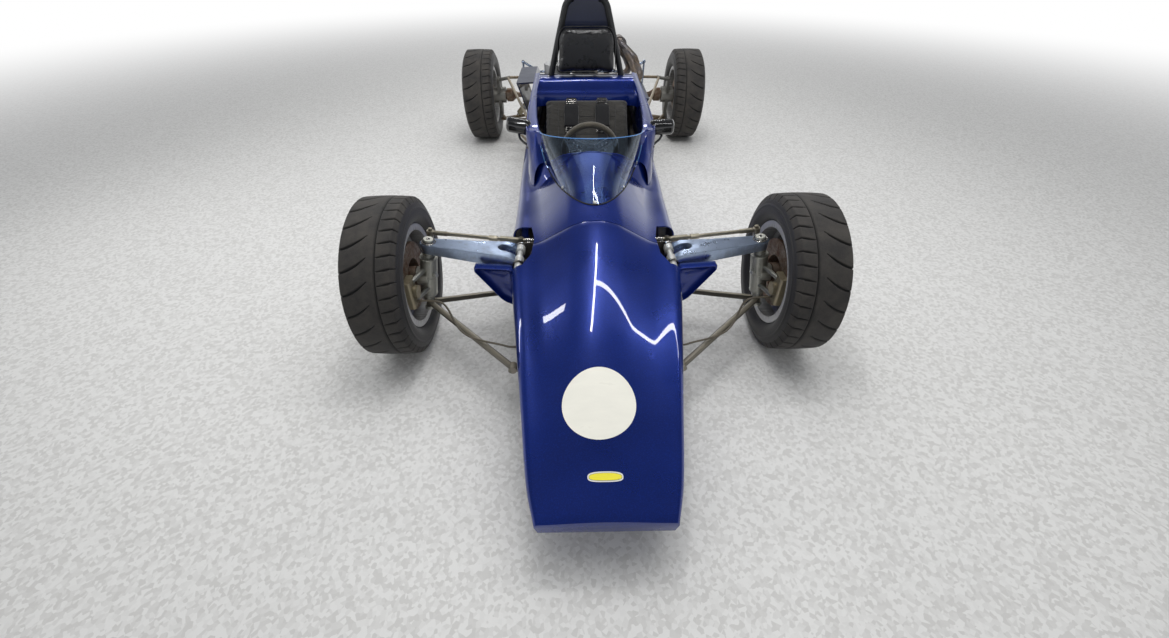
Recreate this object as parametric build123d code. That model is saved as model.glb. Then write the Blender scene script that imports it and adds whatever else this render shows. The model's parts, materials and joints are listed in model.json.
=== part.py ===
"""Open wheel racing car: rocker arm front suspension, spaceframe, inline four behind the driver.

Millimetres, +Z up, nose towards -Y, the car's left side at +X. Everything is modelled from the front
axle's centre line on the ground, and moved at the end so that the origin is under the middle of the car.
"""
import os
from functools import lru_cache
from math import atan2, cos, pi, radians, sin, sqrt, tan

from build123d import *

# Driving dimensions of the whole car
WHEELBASE = 2286.0
FRONT_OVERHANG = 865.0
REAR_OVERHANG = 549.0
FRONT_TRACK = 1395.0
REAR_TRACK = 1430.0
FLOOR_TOP = 75.0
FLOOR_SHEET = 3.0

# Wheels and tyres
FRONT_TYRE_OD = 552.0
FRONT_TYRE_WIDTH = 187.0
REAR_TYRE_OD = 576.0
REAR_TYRE_WIDTH = 203.0
RIM_DIAMETER = 330.2
FRONT_RIM_WIDTH = 140.0
REAR_RIM_WIDTH = 152.0
RIM_WALL = 5.0
RIM_FLANGE = 17.0
CENTRE_OFFSET = 25.0
WHEEL_BORE = 60.0
STUD_CIRCLE = 108.0
STUD_DIAMETER = 12.0
VENT_COUNT = 8

# Body shells
WALL = 4.0
TUCK = 8.0
SEAM_Y = -20.0
SEAM_GAP = 1.5
DASH_Y = 430.0
BODY_END_Y = WHEELBASE - 786.0
FIREWALL_Y = BODY_END_Y - 18.0
HOOP_Y = BODY_END_Y - 38.0
HOOP_TUBE = 16.0
BRACE_TUBE = 10.0
RIM_TOP = 600.0
OPENING_HALF = 240.0

# Front suspension
LOWER_BALL = (FRONT_TRACK / 2 - 88.5, 0.0, 160.0)
UPPER_BALL = (FRONT_TRACK / 2 - 132.5, 0.0, 397.0)
ARM_END = (FRONT_TRACK / 2 - 114.5, 100.0, 392.0)
RACK_Y = 88.0
RACK_Z = 362.0
RACK_END_X = 262.0
PIVOT_X = 258.0
PIVOT_Z = 362.0
PIVOT_RADIUS = 10.0

# Fits
SHAFT_FIT = 0.08
SEAT = 0.3
PIN_RADIUS = 10.0
STUB_RADIUS = 21.0
DISC_THICKNESS = 10.0
FRONT_DISC_OD = 240.0

# Frame
RAIL_RADIUS = 12.5
RAIL_X = 250.0
RAIL_TOP_X = 258.0
RAIL_TOP_Z = 325.0
JOINT_RADIUS = RAIL_RADIUS + 1.0
LINK_RADIUS = 11.0
EYE_RADIUS = 14.0

# Engine and gearbox
ENGINE_FRONT_Y = WHEELBASE - 726.0
ENGINE_REAR_Y = ENGINE_FRONT_Y + 480.0
PORT_Z = 478.0
HEADER_RADIUS = 20.0

# Steering wheel
STEERING_WHEEL_DIAMETER = 250.0
STEERING_WHEEL_CENTRE = (0.0, 650.0, 482.0)
COLUMN_RADIUS = 10.0

# Screen
SCREEN_RADIUS = 210.0
SCREEN_SHEET = 3.0
SCREEN_BASE = (0.0, 50.0, 512.0)
SCREEN_TOP = (0.0, 350.0, 640.0)
SCREEN_TOP_END = (190.0, 560.0, 600.0)

OVERALL_LENGTH = FRONT_OVERHANG + WHEELBASE + REAR_OVERHANG
SHIFT = Location((0, FRONT_OVERHANG - OVERALL_LENGTH / 2, 0))
FRONT_HUB = (FRONT_TRACK / 2, 0.0, FRONT_TYRE_OD / 2)
REAR_HUB = (REAR_TRACK / 2, WHEELBASE, REAR_TYRE_OD / 2)
ROD_RADIUS = 8.5
TAIL_Y = WHEELBASE + REAR_OVERHANG

# Body sections: station y, half width, shoulder radius, shoulder height, top height,
# share of the dome radius, share of the fillet radius, bottom height
NOSE_TABLE = [
    (-FRONT_OVERHANG, 172, 12, 158, 166, 0.60, 0.30, 122),
    (-780, 194, 18, 188, 202, 0.60, 0.30, 104),
    (-610, 216, 22, 254, 282, 0.58, 0.32, 86),
    (-400, 242, 28, 326, 378, 0.55, 0.36, FLOOR_TOP),
    (-200, 268, 36, 376, 447, 0.52, 0.38, FLOOR_TOP),
    (0, 287, 44, 408, 500, 0.50, 0.38, FLOOR_TOP),
    (210, 296, 44, 398, 531, 0.52, 0.32, FLOOR_TOP),
    (DASH_Y, 302, 40, 388, 556, 0.60, 0.24, FLOOR_TOP),
]
COCKPIT_TABLE = [
    (DASH_Y, 302, 40, 388, 556, 0.60, 0.24, FLOOR_TOP),
    (500, 304, 36, 386, 700, 0.80, 0.10, FLOOR_TOP),
    (560, 306, 32, 384, 830, 0.86, 0.06, FLOOR_TOP),
    (BODY_END_Y - 450, 318, 30, 382, 850, 0.86, 0.06, FLOOR_TOP),
    (BODY_END_Y, 326, 30, 382, 850, 0.86, 0.06, FLOOR_TOP),
]


def bar(start, end, radius):
    """Round bar from one point to another."""
    start, end = Vector(*start), Vector(*end)
    axis = end - start
    low = (Align.CENTER, Align.CENTER, Align.MIN)
    return Plane(origin=start, z_dir=axis) * Cylinder(radius, axis.length, align=low)


def pipe(start, end, radius, bore):
    """Round tube from one point to another, open at both ends."""
    return bar(start, end, radius) - bar(start, end, bore)


def block(centre, size, corner=0.0):
    """Box by its centre, its upright edges rounded when a corner radius is given."""
    box = Box(*size)
    if corner:
        box = fillet(box.edges().filter_by(Axis.Z), corner)
    return Pos(*centre) * box


def along(start, end, distance):
    """Point on the line from start to end, at a distance from start."""
    start, end = Vector(*start), Vector(*end)
    point = start + (end - start).normalized() * distance
    return (point.X, point.Y, point.Z)


def left_and_right(part):
    """The left piece and its mirror image, as two solids that don't touch."""
    return Compound(children=[*part.solids(), *mirror(part, about=Plane.YZ).solids()])


def spun(profile):
    """Solid of revolution about the X axis, from (x, radius) points."""
    face = make_face(Polyline([(x, 0, r) for x, r in profile], close=True))
    return revolve(face, axis=Axis.X)


def section_wire(row, inset=0.0):
    """One closed body section of lines and arcs, moved inwards by inset."""
    y, half, corner, shoulder, top, dome_share, fillet_share, bottom = row
    reach, rise = half - corner, top - shoulder
    limit = (reach ** 2 + rise ** 2) / (2 * rise)
    total = (dome_share + fillet_share) * limit
    flank = sqrt(reach ** 2 + rise ** 2 - 2 * total * rise)
    angle = atan2(reach, total - rise) - atan2(flank, total)
    dome, hollow = dome_share * limit - inset, fillet_share * limit + inset
    corner, top, shoulder = corner - inset, top - inset, shoulder - inset
    side = reach + corner

    def dome_at(a):
        return (dome * sin(a), top - dome * (1 - cos(a)))

    def hollow_at(a):
        return (reach - hollow * sin(a), shoulder + hollow * (1 - cos(a)))

    corner_mid = (reach + corner * sin(pi / 4), shoulder - corner * (1 - cos(pi / 4)))
    right = [(side - TUCK, bottom + inset), (side, shoulder - corner), corner_mid, (reach, shoulder)]
    right += [hollow_at(angle / 2), hollow_at(angle), dome_at(angle)]
    points = [(x, y, z) for x, z in right]
    other = [(-x, y, z) for x, z in right]
    edges = [
        Line(other[0], points[0]),
        Line(points[0], points[1]),
        ThreePointArc(points[1], points[2], points[3]),
        ThreePointArc(points[3], points[4], points[5]),
        Line(points[5], points[6]),
        ThreePointArc(points[6], (0, y, top), other[6]),
        Line(other[6], other[5]),
        ThreePointArc(other[5], other[4], other[3]),
        ThreePointArc(other[3], other[2], other[1]),
        Line(other[1], other[0]),
    ]
    return Wire([edge.edge() for edge in edges])


def lofted(table, inset=0.0):
    """Solid through the sections of a table, straight between them."""
    return Solid.make_loft([section_wire(row, inset) for row in table], True)


def half_space(y_from, y_to, z_from=-10.0, z_to=1200.0, x_half=1000.0):
    """Box across the car between two stations and two heights."""
    centre = (0, (y_from + y_to) / 2, (z_from + z_to) / 2)
    return block(centre, (2 * x_half, y_to - y_from, z_to - z_from))


def cockpit_opening():
    """Upright prism through the body, its outline an arch at the dash and round corners behind."""
    half, front, shoulder_y, rear = OPENING_HALF, DASH_Y - 8, 640.0, BODY_END_Y - 95
    corner = 60.0
    outline = [
        ThreePointArc((half, shoulder_y), (0, front), (-half, shoulder_y)),
        Line((-half, shoulder_y), (-half, rear - corner)),
        Line((-half, rear - corner), (-half + corner, rear)),
        Line((-half + corner, rear), (half - corner, rear)),
        Line((half - corner, rear), (half, rear - corner)),
        Line((half, rear - corner), (half, shoulder_y)),
    ]
    face = make_face([edge.edge() for edge in outline])
    return Pos(0, 0, 400) * extrude(face, 500)


def rocker_cutout():
    """Holes in both body sides round the rocker pivots, open upwards."""
    outline = [(330, -122), (240, -118), (212, -70), (206, 10), (222, 104), (330, 128)]
    prism = extrude(make_face(Polyline([(x, y) for x, y in outline], close=True)), 300)
    prism = fillet(prism.edges().filter_by(Axis.Z), 14)
    prism = Pos(0, 0, 338) * prism
    return prism + mirror(prism, about=Plane.YZ)


def wishbone_slots():
    """Slots in the foot of the body sides for the inner ends of the lower wishbones."""
    slots = [block((285, y, 130), (120, 52, 100)) for y in (LOWER_FRONT[1], LOWER_REAR[1])]
    slots += [block((-285, y, 130), (120, 52, 100)) for y in (LOWER_FRONT[1], LOWER_REAR[1])]
    return Part() + slots


LOWER_FRONT = (272.0, -330.0, 140.0)
LOWER_REAR = (282.0, 95.0, 140.0)


@lru_cache
def front_skin(inset=0.0):
    """Nose and scuttle as one solid, from the tip to the dash."""
    return lofted(NOSE_TABLE, inset)


@lru_cache
def cockpit_skin(inset=0.0):
    """Cockpit sides with a closed dome, from the dash to the engine."""
    return lofted(COCKPIT_TABLE, inset)


PLATE_Y = -130


def nose_cone():
    """Nose shell, open at the back, with its own floor as far as the undertray."""
    hollow = front_skin(WALL) & half_space(-FRONT_OVERHANG + WALL, DASH_Y)
    shell = (front_skin() & half_space(-FRONT_OVERHANG, SEAM_Y - SEAM_GAP / 2)) - hollow
    floor_y = NOSE_TABLE[3][0]
    shell = shell - half_space(floor_y, SEAM_Y, 0, FLOOR_TOP)
    shell = shell - half_space(floor_y + 20, SEAM_Y, FLOOR_TOP - 1, FLOOR_TOP + WALL + 1, 232)
    for side in (1, -1):
        shell = shell - bar(frame_point("nose low", side), frame_point("front low", side), RAIL_RADIUS + 2)
        x, y, z = HOSE_ROUTE[-1]
        shell = shell + bar((side * (x - 8), y, z), (side * x, y, z), 6.5)
        shell = shell - bar((side * PIVOT_X, PLATE_Y - 4, PIVOT_Z), (side * PIVOT_X, PLATE_Y + 4, PIVOT_Z), 12)
    shell = shell - rocker_cutout() - wishbone_slots()
    return sorted(shell.solids(), key=lambda solid: solid.volume)[-1]


def cockpit_body():
    """Scuttle and cockpit sides, open at the top, the bottom and the back."""
    scuttle = (front_skin() & half_space(SEAM_Y + SEAM_GAP / 2, DASH_Y)) - front_skin(WALL)
    scuttle = scuttle - half_space(SEAM_Y, DASH_Y, 0, FLOOR_TOP)
    sides = cockpit_skin() - cockpit_skin(WALL)
    shell = scuttle + sides
    shell = shell - half_space(DASH_Y + 1, BODY_END_Y + 1, RIM_TOP, 1200)
    shell = shell - cockpit_opening()
    shell = shell - half_space(SEAM_Y, BODY_END_Y + 1, FLOOR_TOP - 1, FLOOR_TOP + WALL + 0.5, 262)
    return shell - rocker_cutout() - wishbone_slots()


def undertray():
    """Flat aluminium floor under the frame."""
    rows = [row for row in NOSE_TABLE[3:-1]] + COCKPIT_TABLE
    side = [(row[1] - TUCK, row[0]) for row in rows]
    outline = side + [(-x, y) for x, y in reversed(side)]
    face = make_face(Polyline(outline, close=True))
    return Pos(0, 0, FLOOR_TOP - FLOOR_SHEET) * extrude(face, FLOOR_SHEET)


def rocker_fairings():
    """Triangular buckets that lead the air round the inner ends of the rocker arms."""
    front = [(262, 352), (396, 356), (404, 348), (402, 334), (312, 218), (262, 190)]
    y_front, y_back = -102.0, -70.0
    face = make_face(Polyline([(x, y_front, z) for x, z in front], close=True))
    solid = extrude(face, y_back - y_front, dir=(0, 1, 0))
    solid = fillet(solid.edges().filter_by(Axis.Y), 5)
    dish = make_face(Polyline([(x, y_front + 4, z) for x, z in [(300, 344), (388, 347), (310, 240)]], close=True))
    solid = solid - extrude(dish, 60, dir=(0, 1, 0))
    return left_and_right(solid - front_skin(-SEAT))


def windscreen():
    """Tinted wrap-round screen: a leaning half tube, cut level at the top and seated on the scuttle."""
    base, top = Vector(*SCREEN_BASE), Vector(*SCREEN_TOP)
    lean = (top - base).normalized()
    up = Vector(1, 0, 0).cross(lean)
    up = up if up.Z > 0 else -up
    centre = base - up * SCREEN_RADIUS - lean * 400
    end = centre + lean * 1300
    sheet = pipe(tuple(centre), tuple(end), SCREEN_RADIUS, SCREEN_RADIUS - SCREEN_SHEET)
    rise = atan2(SCREEN_TOP_END[2] - SCREEN_TOP[2], SCREEN_TOP_END[1] - SCREEN_TOP[1])
    cut_plane = Plane(origin=SCREEN_TOP, x_dir=(1, 0, 0), z_dir=(0, -sin(rise), cos(rise)))
    above = cut_plane * Pos(0, 0, 400) * Box(1200, 2400, 800)
    sheet = sheet - above - half_space(SCREEN_TOP_END[1], 1900) - half_space(-900, -100)
    sheet = sheet - half_space(-900, 2500, -500, 420)
    trimmed = sheet - front_skin(-SEAT) - (cockpit_skin(-SEAT) - cockpit_opening())
    pieces = sorted(trimmed.solids(), key=lambda s: s.volume, reverse=True)
    return pieces[0]


def seat_back_panel():
    """Blue moulding behind the driver's shoulders: a deck with a rolled step down to the seat."""
    line = [(FIREWALL_Y - SEAT, 596), (HOOP_Y - 60, 596), (HOOP_Y - 82, 582), (HOOP_Y - 94, 552),
            (HOOP_Y - 110, 530), (HOOP_Y - 116, 470)]
    back = [(min(y + 5, FIREWALL_Y - SEAT), z - 5) for y, z in reversed(line)]
    face = make_face(Polyline([(0, y, z) for y, z in line + back], close=True))
    panel = extrude(face, 262, dir=(1, 0, 0), both=True)
    legs = [bar((side * HOOP[0][0], HOOP_Y, HOOP[0][1]), (side * HOOP[1][0], HOOP_Y, HOOP[1][1]), 18)
            for side in (1, -1)]
    return (panel & cockpit_skin(WALL + SEAT)) - legs


def firewall():
    """Sheet bulkhead between the cockpit and the engine."""
    sheet = cockpit_skin(WALL + SEAT) & half_space(FIREWALL_Y, FIREWALL_Y + 3, FLOOR_TOP + SEAT, RIM_TOP)
    return sheet - frame_clearance(FIREWALL_Y)


def frame_clearance(y):
    """Round holes where the frame's rails pass a sheet across the car."""
    holes = []
    for side in (1, -1):
        for x, z in ((RAIL_X, LOW_Z), (RAIL_TOP_X, RAIL_TOP_Z)):
            holes.append(bar((side * x, y - 20, z), (side * x, y + 20, z), RAIL_RADIUS + 1.5))
    return Part() + holes


def dash_panel():
    """Instrument panel under the scuttle's rear edge, with three round gauges and the column's hole."""
    panel = front_skin(WALL + SEAT) & half_space(DASH_Y - 18, DASH_Y - 15, 400, 600, 215)
    gauges = [bar((x, DASH_Y - 16, z), (x, DASH_Y - 2, z), r) for x, z, r in
              ((0, 503, 37), (-92, 480, 26), (92, 480, 26))]
    slot = block((0, DASH_Y - 16, 430), (60, 30, 66))
    return panel + gauges - slot


def seat_pad():
    """Reclined one-piece seat, a closed solid with raised sides."""
    low = FLOOR_TOP + SEAT
    # places ahead of the roll hoop, and heights
    side = [(126, 500), (582, low), (817, low), (817, 132), (557, 128), (156, 528)]
    wing = [(132, 470), (590, low), (762, low), (762, 180), (557, 205), (202, 500)]
    side, wing = [[(HOOP_Y - ahead, z) for ahead, z in line] for line in (side, wing)]
    middle = extrude(make_face(Polyline([(0, y, z) for y, z in side], close=True)), 196, dir=(1, 0, 0), both=True)
    wings = extrude(make_face(Polyline([(0, y, z) for y, z in wing], close=True)), 222, dir=(1, 0, 0), both=True)
    wings = wings - half_space(0, 2000, -10, 900, 190)
    return middle + wings


def headrest_pad():
    """Padded headrest, wider at the shoulders than at the top."""
    outline = [(-165, 617), (165, 617), (158, 790), (128, 844), (-128, 844), (-158, 790)]
    front = HOOP_Y - HOOP_TUBE - HEADREST_DEPTH - SEAT
    face = make_face(Polyline([(x, front, z) for x, z in outline], close=True))
    pad = extrude(face, HEADREST_DEPTH, dir=(0, 1, 0))
    return fillet(pad.edges().filter_by(Axis.Y), 16)


HEADREST_DEPTH = 57.0
HOOP = [(215.0, 505.0), (150.0, 760.0), (104.0, 930.0), (62.0, 966.0)]


def roll_hoop():
    """Roll hoop of round tube, its feet on the upper rails, with two braces back to the rear frame."""
    feet = (RAIL_TOP_X, HOOP_Y, RAIL_TOP_Z + RAIL_RADIUS - 5)
    right = [feet, *[(x, HOOP_Y, z) for x, z in HOOP]]
    loop = right + [(-x, y, z) for x, y, z in reversed(right)]
    radii = [60.0, 80.0, 80.0, 34.0, 34.0, 80.0, 80.0, 60.0]
    path = FilletPolyline(*loop, radius=radii)
    start = Plane(origin=loop[0], z_dir=path % 0)
    tube = sweep(start * Circle(HOOP_TUBE), path=path)
    for side in (1, -1):
        top, bend, foot = hoop_brace(side)
        tube += bar(top, bend, BRACE_TUBE) + bar(bend, foot, BRACE_TUBE) + Pos(*bend) * Sphere(BRACE_TUBE + 0.5)
        tube -= bar(frame_point("dash high", side), frame_point("back high", side), RAIL_RADIUS + SEAT)
    return tube - bar((-90, foot[1], foot[2]), (90, foot[1], foot[2]), RAIL_RADIUS + SEAT)


def hoop_brace(side):
    """Ends and bend of one brace, from the hoop's top to the rear frame's cross tube."""
    y, z = frame_point("engine high", 1)[1:]
    return (side * 72, HOOP_Y, 958), (side * 66, y - 50, 590), (side * 66, y, z)


def engine_cover():
    """Narrow cover over the roll hoop and the engine's top, open below and behind."""
    rows = [
        (HOOP_Y + 24, 150, 640, 98, 988),
        (HOOP_Y + 158, 148, 640, 88, 900),
        (HOOP_Y + 388, 142, 640, 78, 790),
        (HOOP_Y + 598, 132, 640, 70, 712),
    ]

    def ring(row, inset):
        y, foot, low, crown, top = row
        foot, crown, top = foot - inset, crown - inset, top - inset
        corner = 26.0
        edges = [
            Line((-foot, y, low), (foot, y, low)),
            Line((foot, y, low), (crown + 4, y, top - corner)),
            ThreePointArc((crown + 4, y, top - corner), (crown - 6, y, top - 8), (crown - corner, y, top)),
            Line((crown - corner, y, top), (-crown + corner, y, top)),
            ThreePointArc((-crown + corner, y, top), (-crown + 6, y, top - 8), (-crown - 4, y, top - corner)),
            Line((-crown - 4, y, top - corner), (-foot, y, low)),
        ]
        return Wire([edge.edge() for edge in edges])

    outer = Solid.make_loft([ring(row, 0) for row in rows])
    inner_rows = [(rows[0][0] + WALL, *rows[0][1:]), *rows[1:-1], (rows[-1][0] + 1, *rows[-1][1:])]
    inner = Solid.make_loft([ring(row, WALL) for row in inner_rows])
    inner = inner + Pos(0, 0, -2) * inner
    cover = outer - inner
    for side in (1, -1):
        cover -= bar(*hoop_brace(side)[:2], BRACE_TUBE + SEAT)
    return cover


def side_pods():
    """Ducts beside the engine with a mouth that faces forwards; the one under the exhaust is lower."""
    right_top, left_top = 525.0, 438.0

    def duct(side, top):
        lean = (top - 200) / 325.0
        outer = [(POD_WALL_X, 200), (330, 205), (352, 380 * min(1, top / 438)), (318 + 84 * lean, top), (300, top + 6),
                 (POD_WALL_X, top - 20)]
        face = make_face(Polyline([(side * x, POD_Y, z) for x, z in outer], close=True))
        solid = extrude(face, POD_LENGTH, dir=(0, 1, 0))
        centre = (side * 318, (top + 200) / 2)
        inner = [(centre[0] + (side * x - centre[0]) * 0.86, centre[1] + (z - centre[1]) * 0.95) for x, z in outer]
        hollow = make_face(Polyline([(x, POD_Y - 6, z) for x, z in inner], close=True))
        return solid - extrude(hollow, POD_LENGTH + 20, dir=(0, 1, 0))

    return Compound(children=[*duct(-1, right_top).solids(), *duct(1, left_top).solids()])


def radiators():
    """Radiator cores across the ducts."""
    y = POD_Y + 94
    cores = [block((-308.4, y, 330), (35.2, 34, 200)), block((308.4, y, 300), (35.2, 34, 150))]
    return Compound(children=[solid for core in cores for solid in core.solids()])


# Frame joints for the left side: name, x, y, z
LOW_Z = FLOOR_TOP + RAIL_RADIUS + 1.0 + SEAT
BULKHEAD_Y = BODY_END_Y + 16.0
POD_Y = BULKHEAD_Y + 90.0
POD_LENGTH = 400.0
POD_WALL_X = 286.0
FRAME_POINTS = {
    "nose low": (205.0, -345.0, LOW_Z),
    "nose high": (190.0, -345.0, 290.0),
    "front low": (RAIL_X, 100.0, LOW_Z),
    "front high": (222.0, 100.0, 332.0),
    "dash low": (RAIL_X, 400.0, LOW_Z),
    "dash high": (RAIL_TOP_X, 400.0, RAIL_TOP_Z),
    "back low": (RAIL_X, BULKHEAD_Y, LOW_Z),
    "back high": (RAIL_TOP_X, BULKHEAD_Y, RAIL_TOP_Z),
    "engine low": (160.0, ENGINE_REAR_Y + 70, 130.0),
    "engine high": (160.0, ENGINE_REAR_Y + 70, 420.0),
    "tail low": (112.0, WHEELBASE + 154, 150.0),
    "tail high": (175.0, WHEELBASE + 104, 470.0),
}
# Tubes of one side, each cut where it meets the balls and the tubes above it in the list
FRAME_SIDE = [
    ("nose low", "front low"), ("front low", "dash low"), ("dash low", "back low"), ("back low", "engine low"),
    ("engine low", "tail low"), ("nose high", "front high"), ("front high", "dash high"),
    ("dash high", "back high"), ("back high", "engine high"), ("engine high", "tail high"),
    ("nose low", "nose high"), ("front low", "front high"), ("dash low", "dash high"),
    ("back low", "back high"), ("engine low", "engine high"), ("tail low", "tail high"),
    ("nose low", "front high"), ("back high", "engine low"),
]
FRAME_ACROSS = ["nose low", "nose high", "front low", "front high", "dash low", "back low", "back high",
                "engine high", "tail low", "tail high"]


def frame_point(name, side):
    x, y, z = FRAME_POINTS[name]
    return (side * x, y, z)


def rail_point(start, end, y, side):
    """Place on the axis of a frame tube at a given y."""
    a, b = Vector(*frame_point(start, side)), Vector(*frame_point(end, side))
    point = a + (b - a) * ((y - a.Y) / (b.Y - a.Y))
    return (point.X, point.Y, point.Z)


def frame_envelope(name, side, skip=()):
    """What a tube is cut by at a joint: its ball, its cross tube and the tubes listed before."""
    point = frame_point(name, side)
    shape = Pos(*point) * Sphere(JOINT_RADIUS + SEAT)
    if name in FRAME_ACROSS:
        shape += bar(frame_point(name, -1), frame_point(name, 1), RAIL_RADIUS + SEAT)
    for a, b in skip:
        if name in (a, b):
            shape += bar(frame_point(a, side), frame_point(b, side), RAIL_RADIUS + SEAT)
    return shape


@lru_cache
def frame_side_envelope(side):
    """All tubes and balls of one side, with the seat's clearance round them."""
    shapes = [bar(frame_point(a, side), frame_point(b, side), RAIL_RADIUS + SEAT) for a, b in FRAME_SIDE]
    shapes += [bar(frame_point(name, -1), frame_point(name, 1), RAIL_RADIUS + SEAT) for name in FRAME_ACROSS]
    shapes += [Pos(*frame_point(name, side)) * Sphere(JOINT_RADIUS + SEAT) for name in sorted(FRAME_POINTS)]
    return Part() + shapes


def chassis_frame():
    """Straight tubes of the frame's two sides, each seated on the balls of its joints."""
    tubes = []
    for side in (1, -1):
        for i, (a, b) in enumerate(FRAME_SIDE):
            tube = bar(frame_point(a, side), frame_point(b, side), RAIL_RADIUS)
            for name in (a, b):
                tube = tube - frame_envelope(name, side, FRAME_SIDE[:i])
            tubes.append(sorted(tube.solids(), key=lambda solid: solid.volume)[-1])
    return Compound(children=tubes)


def frame_crossmembers():
    """Tubes across the frame with the balls of their joints, and the balls that stand alone."""
    parts = []
    for name in FRAME_ACROSS:
        left, right = frame_point(name, 1), frame_point(name, -1)
        parts += (bar(right, left, RAIL_RADIUS) + [Pos(*p) * Sphere(JOINT_RADIUS) for p in (left, right)]).solids()
    for name in sorted(set(FRAME_POINTS) - set(FRAME_ACROSS)):
        parts += [(Pos(*frame_point(name, side)) * Sphere(JOINT_RADIUS)).solid() for side in (1, -1)]
    return Compound(children=parts)


def frame_brackets():
    """Brackets of the front arms, the radius rods, the tail links, the engine and the ducts."""
    parts = []

    def seated(shape, *cuts):
        for cut in (*cuts, frame_side_envelope(side)):
            shape = shape - cut
        parts.append(sorted(shape.solids(), key=lambda solid: solid.volume)[-1])

    for side in (1, -1):
        for y, step in ((PLATE_Y, -3), (58, -3)):
            plate = block((side * (PIVOT_X - 28), y, PIVOT_Z - 26), (44, 6, 70))
            boss = bar((side * PIVOT_X, y + step, PIVOT_Z), (side * PIVOT_X, y - step, PIVOT_Z), 11)
            seated(plate + boss)
        for x, y, z in (LOWER_FRONT, LOWER_REAR):
            foot = rail_point("nose low", "front low", y, side)
            eye = bar((side * x, y - 20, z), (side * x, y + 20, z), 13.5 + SEAT)
            seated(bar(foot, (side * (x - 8), y, z), 9), eye)
        high, low = upper_rod_line(side), lower_rod_line(side)
        seated(bar(frame_point("back high", side), high[1], 9),
               bar(high[0], along(high[1], high[0], -20), ROD_RADIUS + SEAT))
        seated(bar(frame_point("back low", side), low[1], 9),
               bar(low[0], along(low[1], low[0], -20), ROD_RADIUS + SEAT))
        ear_x, ear_y, ear_z = ear_line()[0]
        seated(bar(rail_point("engine high", "tail high", WHEELBASE, side), (side * 160, WHEELBASE, 408), 8),
               bar((side * 160, WHEELBASE - 20, 408), (side * 160, WHEELBASE + 20, 408), 12 + SEAT),
               bar((side * ear_x, ear_y, ear_z), (side * 160, WHEELBASE, 408), 9 + SEAT))
        mount_y = ENGINE_FRONT_Y + 40
        seated(bar((side * 100, mount_y, 190), rail_point("back low", "engine low", mount_y, side), 10),
               block((0, mount_y, 200), (220 + 2 * SEAT, 90, 200)))
        for y in (POD_Y + 34, POD_Y + POD_LENGTH - 46):
            x, _, z = rail_point("back high", "engine high", y, side)
            seated(bar((x, y, z), (side * (POD_WALL_X - SEAT), y, z), 7))
    return Compound(children=parts)


def steering_axis():
    """Unit vector of the steering column, from the rack up to the driver."""
    wheel = Vector(*STEERING_WHEEL_CENTRE)
    pinion = Vector(0, RACK_Y, RACK_Z + 34)
    return pinion, wheel, (wheel - pinion).normalized()


def steering_wheel():
    """Small three-spoke wheel with its hub, on the column that runs down to the rack's pinion."""
    pinion, wheel, axis = steering_axis()
    rim_radius = STEERING_WHEEL_DIAMETER / 2 - 13
    plane = Plane(origin=wheel, x_dir=(1, 0, 0), z_dir=axis)
    rim = plane * Torus(rim_radius, 13)
    hub = plane * Pos(0, 0, -14) * Cylinder(34, 22)
    column = bar(tuple(pinion + axis * 19.5), tuple(wheel - axis * 20), COLUMN_RADIUS)
    part = rim + hub + column
    for turn in (90, 210, 330):
        part += plane * Rot(0, 0, turn) * Pos(rim_radius / 2 + 8, 0, -8) * Box(rim_radius - 16, 26, 4)
    return part


def rack_housing():
    """Tube round the rack with its pinion tower and two clamps to the frame."""
    tube = pipe((-150, RACK_Y, RACK_Z), (150, RACK_Y, RACK_Z), 19, 11 + SHAFT_FIT)
    tower = bar((0, RACK_Y, RACK_Z + 14), (0, RACK_Y, RACK_Z + 50), 17)
    feet = [block((x, RACK_Y + 6, RACK_Z - 12.2), (24, 24, 10)) for x in (-110, 110)]
    return (tube + tower + feet) - bar((-150, RACK_Y, RACK_Z), (150, RACK_Y, RACK_Z), 11 + SHAFT_FIT)


def steering_rack():
    """Toothed rack bar with an eye at each end for the tie rods."""
    rack = bar((-RACK_END_X + 16, RACK_Y, RACK_Z), (RACK_END_X - 16, RACK_Y, RACK_Z), 11)
    return rack


def tie_rod():
    """Left tie rod: eyes, rod, hexagonal adjuster and rubber sleeve."""
    inner = (RACK_END_X, RACK_Y, RACK_Z)
    axis = (Vector(*UPPER_BALL) - Vector(*LOWER_BALL)).normalized()
    outer = Vector(*ARM_END)
    eye = Plane(origin=outer, z_dir=axis) * Cylinder(13, 16)
    stud = Plane(origin=outer + axis * 12, z_dir=axis) * Cylinder(7, 10)
    rod = bar(inner, tuple(outer), 7)
    length = (outer - Vector(*inner)).length
    sleeve = bar(along(inner, ARM_END, 12), along(inner, ARM_END, 74), 11)
    flats = Plane(origin=Vector(*along(inner, ARM_END, 84)), z_dir=outer - Vector(*inner))
    adjuster = flats * extrude(RegularPolygon(11, 6), 30)
    shank = bar(along(inner, ARM_END, length - 60), along(inner, ARM_END, length - 16), 8.5)
    ball = bar((RACK_END_X - 15, RACK_Y, RACK_Z), along(inner, ARM_END, 13), 9)
    joint = bar((RACK_END_X, RACK_Y - 10, RACK_Z), (RACK_END_X, RACK_Y + 10, RACK_Z), 12)
    return rod + eye + stud + sleeve + adjuster + shank + ball + joint


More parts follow.
